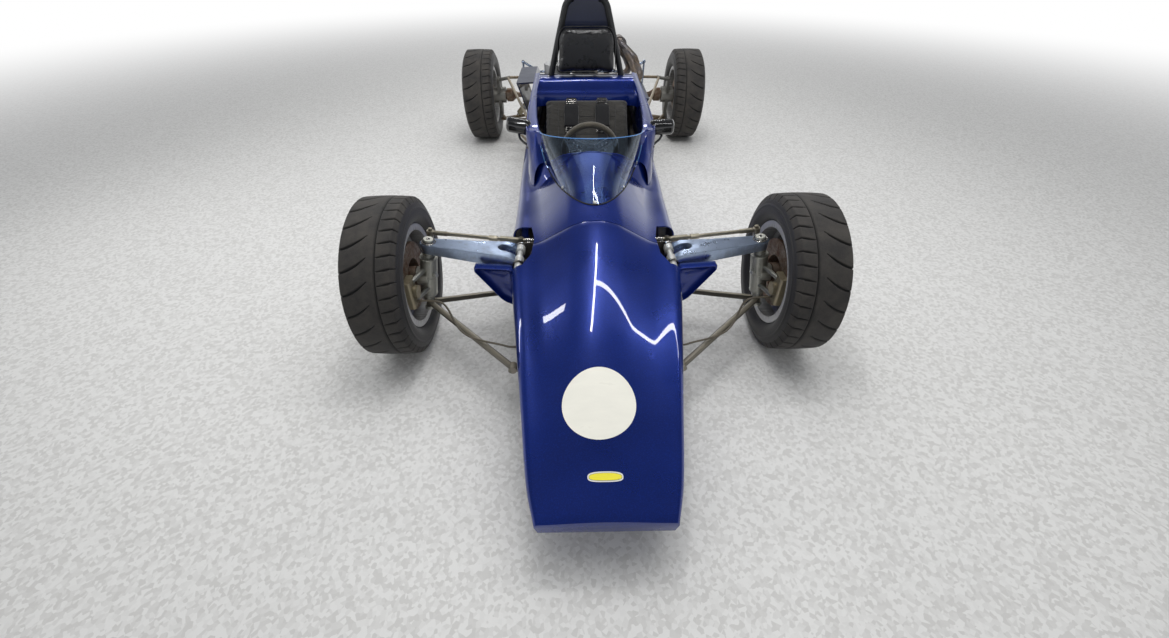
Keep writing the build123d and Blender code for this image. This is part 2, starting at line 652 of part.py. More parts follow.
def rocker_arm():
    """Left rocker arm: a tapered box welded from sheet, forked round its pivot tube."""
    outer_x, inner_x = UPPER_BALL[0], PIVOT_X
    outline = [(outer_x - 14, -24), (outer_x - 14, 24), (inner_x + 96, 47), (inner_x - 2, 40),
               (inner_x - 2, -68), (inner_x + 96, -58)]
    plate = extrude(make_face(Polyline([(x, y) for x, y in outline], close=True)), 70)
    side = [(outer_x, 381), (outer_x, 413), (inner_x + 40, 392), (inner_x - 12, 386), (inner_x - 12, 352),
            (inner_x + 40, 348)]
    profile = make_face(Polyline([(x, 0, z) for x, z in side], close=True))
    body = (Pos(0, 0, 345) * plate) & extrude(profile, 100, dir=(0, 1, 0), both=True)
    slot = extrude(make_face(Polyline([(inner_x - 20, -30), (inner_x + 62, -22), (inner_x + 74, -4),
                                       (inner_x + 62, 14), (inner_x - 20, 4)], close=True)), 200)
    slot = fillet(slot.edges().filter_by(Axis.Z).sort_by(Axis.X)[2:], 8)
    body = body - Pos(0, 0, 300) * slot
    body = body + bar((inner_x, -68, PIVOT_Z), (inner_x, -30, PIVOT_Z), 18)
    body = body + bar((inner_x, 4, PIVOT_Z), (inner_x, 40, PIVOT_Z), 18)
    axis = (Vector(*UPPER_BALL) - Vector(*LOWER_BALL)).normalized()
    housing = Plane(origin=Vector(*UPPER_BALL), z_dir=axis)
    body = body - housing * Cylinder(25, 60) + housing * Cylinder(26, 34)
    body = body - housing * Cylinder(PIN_RADIUS + SHAFT_FIT, 80)
    return body - bar((inner_x, -200, PIVOT_Z), (inner_x, 200, PIVOT_Z), PIVOT_RADIUS + 0.05)


def rocker_pivot():
    """Left pivot tube of the rocker arm, between its two brackets."""
    return pipe((PIVOT_X, -127 + SEAT, PIVOT_Z), (PIVOT_X, 55 - SEAT, PIVOT_Z), PIVOT_RADIUS, 6)


def front_wishbone():
    """Left lower wishbone: two tubes from the ball joint's housing to the frame's brackets."""
    axis = (Vector(*UPPER_BALL) - Vector(*LOWER_BALL)).normalized()
    housing = Plane(origin=Vector(*LOWER_BALL), z_dir=axis)
    legs = bar(LOWER_BALL, LOWER_FRONT, 11) + bar(LOWER_BALL, LOWER_REAR, 11)
    eyes = [bar((x, y - 14, z), (x, y + 14, z), 13.5) for x, y, z in (LOWER_FRONT, LOWER_REAR)]
    part = legs + eyes + housing * Cylinder(22, 26)
    return part - housing * Cylinder(PIN_RADIUS + SHAFT_FIT, 80)


CALIPER_FACE = FRONT_TRACK / 2 - 85.0


def front_upright():
    """Left front upright: turned body on the steering axis, stub axle, steering arm and caliper lug."""
    low, high = Vector(*LOWER_BALL), Vector(*UPPER_BALL)
    axis = (high - low).normalized()
    span = (high - low).length

    def at(distance):
        return tuple(low + axis * distance)

    hub_at = low + axis * ((FRONT_HUB[2] - low.Z) / axis.Z)
    part = bar(at(13 + SEAT), at(span - 17 - SEAT), 19) + bar(at(42), at(span - 42), 29)
    part += bar(at(-16), at(span + 22), PIN_RADIUS)
    part += bar(at(span + 17 + SEAT), at(span + 27), 16) + bar(at(-26), at(-13 - SEAT), 16)
    stub_end = FRONT_HUB[0] + CENTRE_OFFSET - 2
    part += bar(tuple(hub_at), (FRONT_HUB[0] - 74, 0, FRONT_HUB[2]), 33)
    part += bar(tuple(hub_at), (stub_end, 0, FRONT_HUB[2]), STUB_RADIUS)
    tip = Vector(*ARM_END) - axis * (8 + 0.6 + 7)
    part += Plane(origin=tip, z_dir=axis) * Cylinder(12, 14)
    part += bar(at(span - 46), along(at(span - 46), tuple(tip), (tip - Vector(*at(span - 46))).length - 8), 8)
    for z in (FRONT_HUB[2] + 38, FRONT_HUB[2] - 38):
        part += bar((hub_at.X, -10, z), (CALIPER_FACE + 4, -92, z), 8)
    return part - block((CALIPER_FACE - SEAT + 100, -200, FRONT_HUB[2]), (200, 300, 200))


def brake_caliper():
    """Left front caliper: two halves round the disc, bridged outside it, with its pistons' bosses."""
    disc_x = FRONT_HUB[0] - 53
    centre = (disc_x, -102, FRONT_HUB[2])
    part = block(centre, (2 * (disc_x - CALIPER_FACE), 56, 104), 8)
    gap = bar((disc_x - 7.5, 0, FRONT_HUB[2]), (disc_x + 7.5, 0, FRONT_HUB[2]), FRONT_DISC_OD / 2 + 3)
    part = part - gap
    part += bar((disc_x - 44, -98, FRONT_HUB[2]), (disc_x - 30, -98, FRONT_HUB[2]), 23)
    return part & half_space(-150, -70)


def front_disc():
    """Front hub and brake disc in one turning piece, in the wheel's own frame."""
    d = DISC_THICKNESS / 2
    x0 = -53.0
    bore = STUB_RADIUS + SHAFT_FIT
    face = CENTRE_OFFSET - SEAT
    profile = [(x0 - d, FRONT_DISC_OD / 2), (x0 + d, FRONT_DISC_OD / 2), (x0 + d, 70), (6, 62), (face - 10, 66),
               (face, 66), (face, bore), (-70, bore), (-70, 34), (0, 34), (0, 50), (x0 - d, 62)]
    return spun(profile)


def rim(width, offset):
    """Cast wheel in its own frame: barrel with a drop centre, dished centre with round windows."""
    half, seat = width / 2, RIM_DIAMETER / 2 - 0.2
    flange, well, t = seat + RIM_FLANGE, seat - 13, RIM_WALL
    outer = [(-half - 6, flange), (-half, flange), (-half, seat), (offset - 46, seat), (offset - 36, well),
             (offset + 16, well), (offset + 24, seat), (half, seat), (half, flange), (half + 6, flange)]
    inner = [(half + 6, seat - t), (offset + 26, seat - t), (offset + 18, well - t), (offset - 38, well - t),
             (offset - 48, seat - t), (-half - 6, seat - t)]
    wheel = spun(outer + inner)
    dish = [(offset, WHEEL_BORE / 2), (offset, 70), (offset - 8, 84), (offset - 8, well - t + 1),
            (offset + 6, well - t + 1), (offset + 6, 88), (offset + 14, 74), (offset + 14, WHEEL_BORE / 2)]
    wheel = wheel + spun(dish)
    for i in range(VENT_COUNT):
        turn = Rot(360 / VENT_COUNT * i, 0, 0)
        wheel -= turn * (Pos(offset, 0, 114) * Rot(0, 90, 0) * extrude(SlotOverall(52, 30), 60, both=True))
    for i in range(4):
        turn = Rot(90 * i + 45, 0, 0)
        wheel -= turn * (Pos(offset, 0, STUD_CIRCLE / 2) * Rot(0, 90, 0) * Cylinder(STUD_DIAMETER / 2, 60))
    return wheel


def tyre(diameter, width, rim_width):
    """Hollow tyre in its own frame: crowned tread, round shoulders, bulged side walls."""
    half, tread, r = width / 2, width * 0.40, diameter / 2
    bead, seat = rim_width / 2 - 0.3, RIM_DIAMETER / 2
    wide, heel = seat + 0.46 * (r - seat), seat + RIM_FLANGE + 3
    tread_r, t = r - 3, 10.0

    def p(x, radius):
        return (x, 0, radius)

    edges = [
        ThreePointArc(p(-tread, tread_r), p(0, r), p(tread, tread_r)),
        ThreePointArc(p(tread, tread_r), p(half - 7, r - 24), p(half, wide)),
        ThreePointArc(p(half, wide), p(half - 3, (wide + heel) / 2), p(bead + 6, heel)),
        Line(p(bead + 6, heel), p(bead, heel - 2)),
        Line(p(bead, heel - 2), p(bead, seat)),
        Line(p(bead, seat), p(bead - t, seat)),
        Line(p(bead - t, seat), p(bead - t, heel - 4)),
        Line(p(bead - t, heel - 4), p(half - t - 2, wide)),
        Line(p(half - t - 2, wide), p(tread - 2, tread_r - t)),
        Line(p(tread - 2, tread_r - t), p(-tread + 2, tread_r - t)),
        Line(p(-tread + 2, tread_r - t), p(-half + t + 2, wide)),
        Line(p(-half + t + 2, wide), p(-bead + t, heel - 4)),
        Line(p(-bead + t, heel - 4), p(-bead + t, seat)),
        Line(p(-bead + t, seat), p(-bead, seat)),
        Line(p(-bead, seat), p(-bead, heel - 2)),
        Line(p(-bead, heel - 2), p(-bead - 6, heel)),
        ThreePointArc(p(-bead - 6, heel), p(-half + 3, (wide + heel) / 2), p(-half, wide)),
        ThreePointArc(p(-half, wide), p(-half + 7, r - 24), p(-tread, tread_r)),
    ]
    return revolve(make_face([edge.edge() for edge in edges]), axis=Axis.X)


HOSE_RADIUS = 3.5
# Left front brake hose, from the caliper's pipe to the body side
HOSE_ROUTE = [
    (612.2, -100.0, 240.0), (560.0, -100.0, 238.0), (541.0, -101.0, 236.0), (522.0, -104.0, 228.0),
    (506.0, -116.0, 208.0),
    (492.0, -138.0, 186.0), (472.0, -164.0, 168.0), (444.0, -190.0, 160.0), (410.0, -212.0, 161.0),
    (376.0, -232.0, 168.0), (338.0, -250.0, 174.0), (306.0, -266.0, 180.0), (284.0, -280.0, 184.0),
    (262.0, -280.0, 184.0),
]


def corner_radii(route):
    """Largest arc that the two runs at each corner of a route allow."""
    radii = []
    for a, b, c in zip(route, route[1:], route[2:]):
        first, second = Vector(*b) - Vector(*a), Vector(*c) - Vector(*b)
        turn = radians(first.get_angle(second))
        radii.append(0.45 * min(first.length, second.length) / tan(turn / 2))
    return radii


def brake_hose():
    """Left front brake hose as one tube along its route."""
    radii = corner_radii(HOSE_ROUTE)
    path = FilletPolyline(*HOSE_ROUTE, radius=radii)
    tube = sweep(Plane(origin=HOSE_ROUTE[0], z_dir=path % 0) * Circle(HOSE_RADIUS), path=path)
    print("brake hose radii", [round(r) for r in radii], "length", round(path.length, 1),
          "volume ratio", round(tube.volume / (pi * HOSE_RADIUS ** 2 * path.length), 4))
    return tube


def driveshaft():
    """Left driveshaft with its joints, rear hub and disc in one turning piece, in the wheel's own frame."""
    inner_x = 140.0 - REAR_HUB[0]
    face = CENTRE_OFFSET - SEAT
    profile = [(inner_x, 0), (inner_x, 46), (inner_x + 40, 46), (inner_x + 62, 22), (inner_x + 96, 16),
               (-250, 16), (-226, 26), (-206, 44), (-168, 44), (-162, 30), (-70, 30), (-70, 58), (-58, 110),
               (-48, 110), (-48, 66), (6, 60), (face - 10, 64), (face, 64), (face, 0)]
    return spun(profile)


def rear_upright():
    """Left rear upright: bearing barrel, leaning upper plate and lower lug, with its caliper."""
    x, y, z = REAR_HUB
    barrel = bar((x - 158, y, z), (x - 74, y, z), 52) - bar((x - 200, y, z), (x, y, z), 30 + 1.0)
    plate = [(y - 60, z + 20), (y - 44, z + 110), (y - 22, z + 126), (y + 8, z + 116), (y + 46, z + 26)]
    web = extrude(make_face(Polyline([(0, a, b) for a, b in plate], close=True)), 18, dir=(1, 0, 0))
    web = Pos(x - 126, 0, 0) * web
    lower = [(y - 46, z - 20), (y - 20, z - 150), (y + 20, z - 150), (y + 46, z - 20)]
    foot = extrude(make_face(Polyline([(0, a, b) for a, b in lower], close=True)), 22, dir=(1, 0, 0))
    foot = Pos(x - 128, 0, 0) * foot
    bore = bar((x - 200, y, z), (x, y, z), 31)
    ear = bar((x - 201, y - 36, z + 122), (x - 112, y - 30, z + 104), 11)
    return (web + foot + barrel + ear) - bore


def ear_line(side=1):
    """Axis of the upright's upper ear, from its free end."""
    x, y, z = REAR_HUB
    return (side * (x - 201), y - 36, z + 122), (side * (x - 112), y - 30, z + 104)


def upper_rod_line(side=1):
    return along(*ear_line(side), 14), (side * 344, BULKHEAD_Y, 363)


def lower_rod_line(side=1):
    x, y, z = REAR_HUB
    return (side * (x - 124), y - 20, z - 132), (side * 290, BULKHEAD_Y, 146)


def tail_eye(y):
    """Centre of a wishbone eye that seats against the outer side of the lower tail tube."""
    x, _, z = rail_point("engine low", "tail low", y, 1)
    return (x + RAIL_RADIUS + EYE_RADIUS, y, z)


REAR_FOOT = (REAR_HUB[0] - 117, WHEELBASE, REAR_HUB[2] - 164.0 - SEAT)


def rear_links():
    """Left rear wishbone, top link and the two radius rods."""
    x, y, z = REAR_HUB
    ear = bar(along(*ear_line(), -SEAT), ear_line()[1], 11 + SEAT)
    eyes = [tail_eye(WHEELBASE - 106), tail_eye(WHEELBASE + 138)]
    wishbone = bar(REAR_FOOT, eyes[0], LINK_RADIUS) + bar(REAR_FOOT, eyes[1], LINK_RADIUS)
    wishbone += Pos(*REAR_FOOT) * Sphere(EYE_RADIUS)
    wishbone += [bar((a, b - 12, c), (a, b + 12, c), EYE_RADIUS) for a, b, c in eyes]
    wishbone -= bar(frame_point("engine low", 1), frame_point("tail low", 1), RAIL_RADIUS + SEAT)
    link = bar(ear_line()[0], (160, y, 408), 9) + bar((160, y - 12, 408), (160, y + 12, 408), 12) - ear
    upper_rod = bar(*upper_rod_line(), ROD_RADIUS) - ear
    lower_rod = bar(*lower_rod_line(), ROD_RADIUS) - block((x - 78 - SEAT, y, z - 100), (100, 400, 200))
    return wishbone, link, upper_rod, lower_rod


def rear_damper():
    """Left coil-over: damper body, rod, spring and its two plates, from the wishbone to the frame's tail."""
    low, high = along(REAR_FOOT, tail_eye(WHEELBASE + 138), 104), frame_point("tail high", 1)
    part = bar(low, high, 9) + bar(along(low, high, 24), along(low, high, 210), 21)
    part += bar(along(low, high, 90), along(low, high, 98), 38) + bar(along(low, high, 338), along(low, high, 346), 38)
    for i in range(8):
        start = 104 + i * 29.5
        part += bar(along(low, high, start), along(low, high, start + 11), 35)
    part -= bar(REAR_FOOT, tail_eye(WHEELBASE + 138), LINK_RADIUS + SEAT)
    return part - frame_envelope("tail high", 1, FRAME_SIDE)


def antiroll_bar():
    """Rear anti-roll bar with raised ends and two upright drop links."""
    end, y, z = REAR_TRACK / 2 - 305, WHEELBASE - 86, 457.2
    path = FilletPolyline((-end, y, 517), (-300, y, z), (300, y, z), (end, y, 517), radius=40)
    part = sweep(Plane(origin=(-end, y, 517), z_dir=path % 0) * Circle(7.5), path=path)
    leg = along(REAR_FOOT, tail_eye(WHEELBASE - 106), 200)
    for side in (1, -1):
        foot = (side * leg[0], leg[1], leg[2])
        top = (side * end, y, 517)
        link = Pos(*top) * Sphere(11) + bar(top, along(foot, top, LINK_RADIUS + 2), 6)
        part += link + bar(along(foot, top, LINK_RADIUS + SEAT), along(foot, top, 26), 9)
    return part


def engine_block():
    """Inline four: sump, crankcase, cylinder block, head and rocker cover, with its front pulley."""
    mid = (ENGINE_FRONT_Y + ENGINE_REAR_Y) / 2
    length = ENGINE_REAR_Y - ENGINE_FRONT_Y
    part = block((0, mid - 20, 118), (190, length - 80, 70), 12)
    part += block((0, mid, 205), (220, length, 110), 14)
    part += block((0, mid, 335), (170, length, 160), 10)
    part += block((0, mid, 458), (156, length - 20, 90), 8)
    part += block((0, mid, 525), (118, length - 50, 50), 16)
    part += bar((0, ENGINE_FRONT_Y - 34, 215), (0, ENGINE_FRONT_Y, 215), 68)
    part += bar((0, ENGINE_FRONT_Y - 28, 380), (0, ENGINE_FRONT_Y, 380), 44)
    part += bar((0, mid - 90, 540), (0, mid - 90, 562), 22)
    part += bar((98, mid + 60, 290), (98, mid + 150, 250), 34)
    return part


def carburettor():
    """Intake pipe, twin choke carburettor and round air filter on the car's right."""
    y = (ENGINE_FRONT_Y + ENGINE_REAR_Y) / 2
    part = block((-107 - SEAT, y, 478), (58, 150, 56), 12)
    part += block((-168, y, 486), (72, 92, 82), 10)
    part += bar((-168, y, 526), (-168, y, 590), 78)
    return part


def exhaust_headers():
    """Four pipes that sweep out and back from the head into one collector and tail pipe."""
    collector = (232.0, ENGINE_REAR_Y + 80, 640.0)
    # port behind the engine's front, outermost x, height out there, offsets of its end at the collector
    pipes = [
        (80, 330, 484, 19, 0), (182, 352, 500, 0, 19),
        (298, 374, 488, 0, -19), (400, 300, 500, -19, 0),
    ]
    part = Part()
    for port, out_x, out_z, dx, dz in pipes:
        port_y = ENGINE_FRONT_Y + port
        end = (collector[0] + dx, collector[1], collector[2] + dz)
        reach = port_y + 0.32 * (collector[1] - port_y)
        route = [(78 + SEAT, port_y, PORT_Z), (out_x * 0.6, port_y, PORT_Z - 2), (out_x, reach, out_z),
                 (out_x - 30, (reach + end[1]) / 2 + 20, (out_z + end[2]) / 2), (end[0], end[1] - 40, end[2] - 6), end]
        radii = [min(radius, 55.0) for radius in corner_radii(route)]
        path = FilletPolyline(*route, radius=radii)
        part += sweep(Plane(origin=route[0], z_dir=path % 0) * Circle(HEADER_RADIUS), path=path)
        part += block((80.5 + SEAT, port_y, PORT_Z), (5, 66, 58))
    y = collector[1]
    tail = [collector, (232, y + 110, 652), (205, y + 310, 600), (190, TAIL_Y, 560)]
    low = (Align.CENTER, Align.CENTER, Align.MIN)
    part += Plane(origin=(232, y - 14, 638.6), z_dir=(0, 1, 0.1)) * Cone(44, 27, 114, align=low)
    part += bar(along(collector, tail[1], 90), tail[2], 26) + Pos(*tail[2]) * Sphere(26)
    part += bar(tail[2], tail[3], 26) + bar(along(tail[2], tail[3], 60), along(tail[2], tail[3], 330), 52)
    return part & half_space(BODY_END_Y, TAIL_Y)


def gearbox():
    """Bellhousing, transaxle case with ribs, output flanges and tail housing."""
    z = REAR_HUB[2]
    low = (Align.CENTER, Align.CENTER, Align.MIN)
    bell = Plane(origin=(0, ENGINE_REAR_Y + SEAT, z), z_dir=(0, 1, 0)) * Cone(158, 92, 110, align=low)
    bell = bell & block((0, ENGINE_REAR_Y + 60, z), (290, 300, 300))
    _, y, top = frame_point("engine high", 1)
    bell += block((0, y, top - 22), (50, 22, 44)) - bar((-60, y, top), (60, y, top), RAIL_RADIUS + SEAT)
    case = block((0, WHEELBASE + 4, z + 4), (150, 300, 190), 10)
    side = bar((-124, WHEELBASE, z), (124, WHEELBASE, z), 88)
    flanges = bar((-138, WHEELBASE, z), (138, WHEELBASE, z), 48)
    tail = block((0, WHEELBASE + 244, z + 14), (128, 190, 158), 14)
    tail += block((0, WHEELBASE + 374, z + 10), (104, 90, 130), 14)
    part = bell + case + side + flanges + tail
    for behind in (-106, -56, 64, 114, 164, 214, 274):
        part += block((0, WHEELBASE + behind, z + 6), (158, 7, 198))
    return part


def mirrors():
    """Two mirror pods on curved stalks that stand on the cockpit sides."""
    pod = block((300, 622, 604), (112, 46, 70), 20)
    pod = fillet(pod.edges().filter_by(Axis.X), 16)
    stalk = bar((252, 560, 520), (286, 590, 548), 6) + bar((286, 590, 548), (296, 618, 580), 6)
    stalk += Pos(286, 590, 548) * Sphere(6)
    part = (pod + stalk) - cockpit_skin(-SEAT)
    return left_and_right(part.solids().sort_by(SortBy.VOLUME)[-1])


def cockpit_controls():
    """Three pedals on their cross bar, and the gear lever with its gate."""
    pedals = [block((x, -90, 190), (52, 8, 70)) + bar((x, -86, 160), (x, -60, FLOOR_TOP + 6), 6)
              for x in (-90, 0, 90)]
    pedals = Part() + pedals + bar((-125, -60, FLOOR_TOP + 12 + SEAT), (125, -60, FLOOR_TOP + 12 + SEAT), 12)
    y = HOOP_Y - 702
    lever = bar((-236, y, 330), (-214, y - 20, 430), 6) + Pos(-212, y - 22, 440) * Sphere(17)
    lever += block((-238.2, y, 322), (14, 60, 40))
    return Compound(children=[*pedals.solids(), *lever.solids()])


def to_wheel(part, centre, side):
    """Wheel piece placed at its axle, turned so that its outer face is outboard."""
    if side < 0:
        part = mirror(part, about=Plane.YZ)
    return Pos(side * centre[0], centre[1], centre[2]) * part


def build():
    """Every node of the car, by name, measured from the front axle."""
    nodes = {
        "nose_cone": nose_cone(),
        "cockpit_body": cockpit_body(),
        "undertray": undertray(),
        "windscreen": windscreen(),
        "rocker_fairings": rocker_fairings(),
        "seat_back_panel": seat_back_panel(),
        "firewall": firewall(),
        "dash_panel": dash_panel(),
        "seat_pad": seat_pad(),
        "headrest_pad": headrest_pad(),
        "roll_hoop": roll_hoop(),
        "engine_cover": engine_cover(),
        "side_pods": side_pods(),
        "radiators": radiators(),
        "chassis_frame": chassis_frame(),
        "frame_crossmembers": frame_crossmembers(),
        "frame_brackets": frame_brackets(),
        "steering_wheel": steering_wheel(),
        "rack_housing": rack_housing(),
        "steering_rack": steering_rack(),
        "rocker_arms": left_and_right(rocker_arm()),
        "rocker_pivots": left_and_right(rocker_pivot()),
        "front_wishbones": left_and_right(front_wishbone()),
        "rear_uprights": left_and_right(rear_upright()),
        "rear_links": Compound(children=[s for p in rear_links() for s in left_and_right(p).solids()]),
        "rear_dampers": left_and_right(rear_damper()),
        "antiroll_bar": antiroll_bar(),
        "engine_block": engine_block(),
        "carburettor": carburettor(),
        "exhaust_headers": exhaust_headers(),
        "gearbox": gearbox(),
        "mirrors": mirrors(),
        "cockpit_controls": cockpit_controls(),
    }
    handed = {
        "tie_rod": tie_rod(),
        "front_upright": front_upright(),
        "brake_caliper": brake_caliper(),
        "brake_hose": brake_hose(),
    }
    for name, part in handed.items():
        nodes[f"{name}_left"] = part
        nodes[f"{name}_right"] = mirror(part, about=Plane.YZ)
    wheels = {
        "front_rim": (rim(FRONT_RIM_WIDTH, CENTRE_OFFSET), FRONT_HUB),
        "front_tyre": (tyre(FRONT_TYRE_OD, FRONT_TYRE_WIDTH, FRONT_RIM_WIDTH), FRONT_HUB),
        "front_disc": (front_disc(), FRONT_HUB),
        "rear_rim": (rim(REAR_RIM_WIDTH, CENTRE_OFFSET), REAR_HUB),
        "rear_tyre": (tyre(REAR_TYRE_OD, REAR_TYRE_WIDTH, REAR_RIM_WIDTH), REAR_HUB),
        "driveshaft": (driveshaft(), REAR_HUB),
    }
    for name, (part, centre) in wheels.items():
        nodes[f"{name}_left"] = to_wheel(part, centre, 1)
        nodes[f"{name}_right"] = to_wheel(part, centre, -1)
    return nodes


os.makedirs("parts", exist_ok=True)
for name, part in build().items():
    export_step(SHIFT * part, f"parts/{name}.step")
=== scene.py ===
import json
import math

import bmesh
import bpy
import numpy as np
from mathutils.bvhtree import BVHTree
from mathutils import Matrix, Vector

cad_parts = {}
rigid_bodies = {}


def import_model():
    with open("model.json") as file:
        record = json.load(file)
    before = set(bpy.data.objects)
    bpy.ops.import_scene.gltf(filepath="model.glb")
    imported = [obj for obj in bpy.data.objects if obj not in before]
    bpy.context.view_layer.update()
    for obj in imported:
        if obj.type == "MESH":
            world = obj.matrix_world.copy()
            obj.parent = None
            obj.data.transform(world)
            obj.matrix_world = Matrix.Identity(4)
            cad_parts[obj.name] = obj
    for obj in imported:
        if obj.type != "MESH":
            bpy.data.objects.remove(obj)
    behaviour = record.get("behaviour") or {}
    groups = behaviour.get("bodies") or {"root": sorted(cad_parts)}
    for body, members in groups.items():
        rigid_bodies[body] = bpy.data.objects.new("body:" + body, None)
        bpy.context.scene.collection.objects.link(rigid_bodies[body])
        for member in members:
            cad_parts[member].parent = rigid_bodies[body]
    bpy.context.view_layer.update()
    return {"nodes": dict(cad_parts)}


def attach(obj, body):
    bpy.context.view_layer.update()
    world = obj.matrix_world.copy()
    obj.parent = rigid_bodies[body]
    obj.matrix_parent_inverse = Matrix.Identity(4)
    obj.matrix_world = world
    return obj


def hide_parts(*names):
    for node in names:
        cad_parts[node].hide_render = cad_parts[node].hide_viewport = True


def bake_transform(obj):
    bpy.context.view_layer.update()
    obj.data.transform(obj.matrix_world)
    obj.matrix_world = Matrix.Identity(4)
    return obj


bl_info = {
    "name": "Open Wheel Racing Car",
    "version": (1, 0, 0),
    "blender": (4, 5, 0),
    "location": "3D View > Sidebar > Racing Car",
    "description": "Bodywork, wheels, suspension and cockpit of a single seat racing car",
    "category": "Add Mesh",
}

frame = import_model()

# The source counts y from the front axle; the frame counts it from the middle of the car.
AXLE_Y = -0.985
WALL = 0.004
SEAM_Y = -0.020
SEAM_GAP = 0.003
DASH_Y = 0.430
BODY_END = 1.500
RIM_TOP = 0.600
FLOOR = 0.075

# Body sections: station y, half width, shoulder radius, shoulder height, top height,
# share of the dome radius, share of the hollow radius, bottom height
NOSE_ROWS = (
    (-0.865, 0.172, 0.012, 0.158, 0.166, 0.60, 0.30, 0.122),
    (-0.780, 0.194, 0.018, 0.188, 0.202, 0.60, 0.30, 0.104),
    (-0.610, 0.216, 0.022, 0.254, 0.282, 0.58, 0.32, 0.086),
    (-0.400, 0.242, 0.028, 0.326, 0.378, 0.55, 0.36, FLOOR),
    (-0.200, 0.268, 0.036, 0.376, 0.447, 0.52, 0.38, FLOOR),
    (0.000, 0.287, 0.044, 0.408, 0.500, 0.50, 0.38, FLOOR),
    (0.210, 0.296, 0.044, 0.398, 0.531, 0.52, 0.32, FLOOR),
    (DASH_Y, 0.302, 0.040, 0.388, 0.556, 0.60, 0.24, FLOOR),
)
COCKPIT_ROWS = (
    NOSE_ROWS[-1],
    (0.500, 0.304, 0.036, 0.386, 0.700, 0.80, 0.10, FLOOR),
    (0.560, 0.306, 0.032, 0.384, 0.830, 0.86, 0.06, FLOOR),
    (1.050, 0.318, 0.030, 0.382, 0.850, 0.86, 0.06, FLOOR),
    (BODY_END, 0.326, 0.030, 0.382, 0.850, 0.86, 0.06, FLOOR),
)


# Places on the left side, counted from the front axle
FRONT_HUB, REAR_HUB = (0.6975, 0.0, 0.276), (0.715, 2.286, 0.288)
UPPER_BALL, LOWER_BALL = Vector((0.565, 0.0, 0.397)), Vector((0.609, 0.0, 0.160))
PIVOT_X, PIVOT_Z = 0.258, 0.362
STEERING_CENTRE, PINION = Vector((0.0, 0.650, 0.482)), Vector((0.0, 0.088, 0.396))
MIRROR_X, MIRROR_Z = 0.300, 0.604
DAMPER_LOW, DAMPER_HIGH = Vector((0.4986, 2.3160, 0.1292)), Vector((0.175, 2.390, 0.470))
SIDES = (("left", 1), ("right", -1))


# ---------------------------------------------------------------- settings


def color_setting(name, description, default):
    return bpy.props.FloatVectorProperty(name=name, description=description, size=3, subtype="COLOR",
                                         min=0.0, max=1.0, default=default)


class RacingCarPaint(bpy.types.PropertyGroup):
    """Colours of the car's finishes."""

    body: color_setting("Body", "Deep metallic body colour", (0.0018, 0.0135, 0.130))
    cover: color_setting("Cover", "Near black colour of the engine cover", (0.004, 0.008, 0.03))
    disc: color_setting("Race disc", "Plain disc on the nose", (0.84, 0.82, 0.73))
    badge: color_setting("Badge", "Plain oval plate on the nose", (0.88, 0.78, 0.05))


class RacingCarSizes(bpy.types.PropertyGroup):
    """Sizes of what repeats on the car."""

    tread_depth: bpy.props.FloatProperty(name="Tread depth", description="Depth of the tyres' grooves",
                                         default=0.0050, min=0.0, max=0.01, unit="LENGTH")
    sickle_count: bpy.props.IntProperty(name="Sickle grooves", description="Curved grooves round each tyre",
                                        default=24, min=6, max=60)
    slit_count: bpy.props.IntProperty(name="Shoulder slits", default=40, min=6, max=90,
                                      description="Short slits round each inner shoulder")
    screw_radius: bpy.props.FloatProperty(name="Screw radius", default=0.0055, min=0.001, max=0.02,
                                          unit="LENGTH", description="Radius of the deck screws' heads")


def settings():
    return bpy.context.scene.racing_car_sizes


# ---------------------------------------------------------------- finishes


def shade(color, factor, lift=0.0):
    """A colour made lighter or darker."""
    return tuple(min(1.0, c * factor + lift) for c in color)


class Tree:
    """Short calls to add nodes to a node tree."""

    prefix = ""

    def __init__(self, tree):
        self.tree = tree

    def set(self, node, values):
        """Links the sockets among the values to a node's inputs, and sets the inputs to the others."""
        for key, value in values.items():
            if isinstance(value, bpy.types.NodeSocket):
                self.tree.links.new(value, node.inputs[key])
            else:
                node.inputs[key].default_value = value

    def node(self, kind, values=None, **attributes):
        node = self.tree.nodes.new(self.prefix + kind)
        for key, value in attributes.items():
            setattr(node, key, value)
        self.set(node, values or {})
        return node


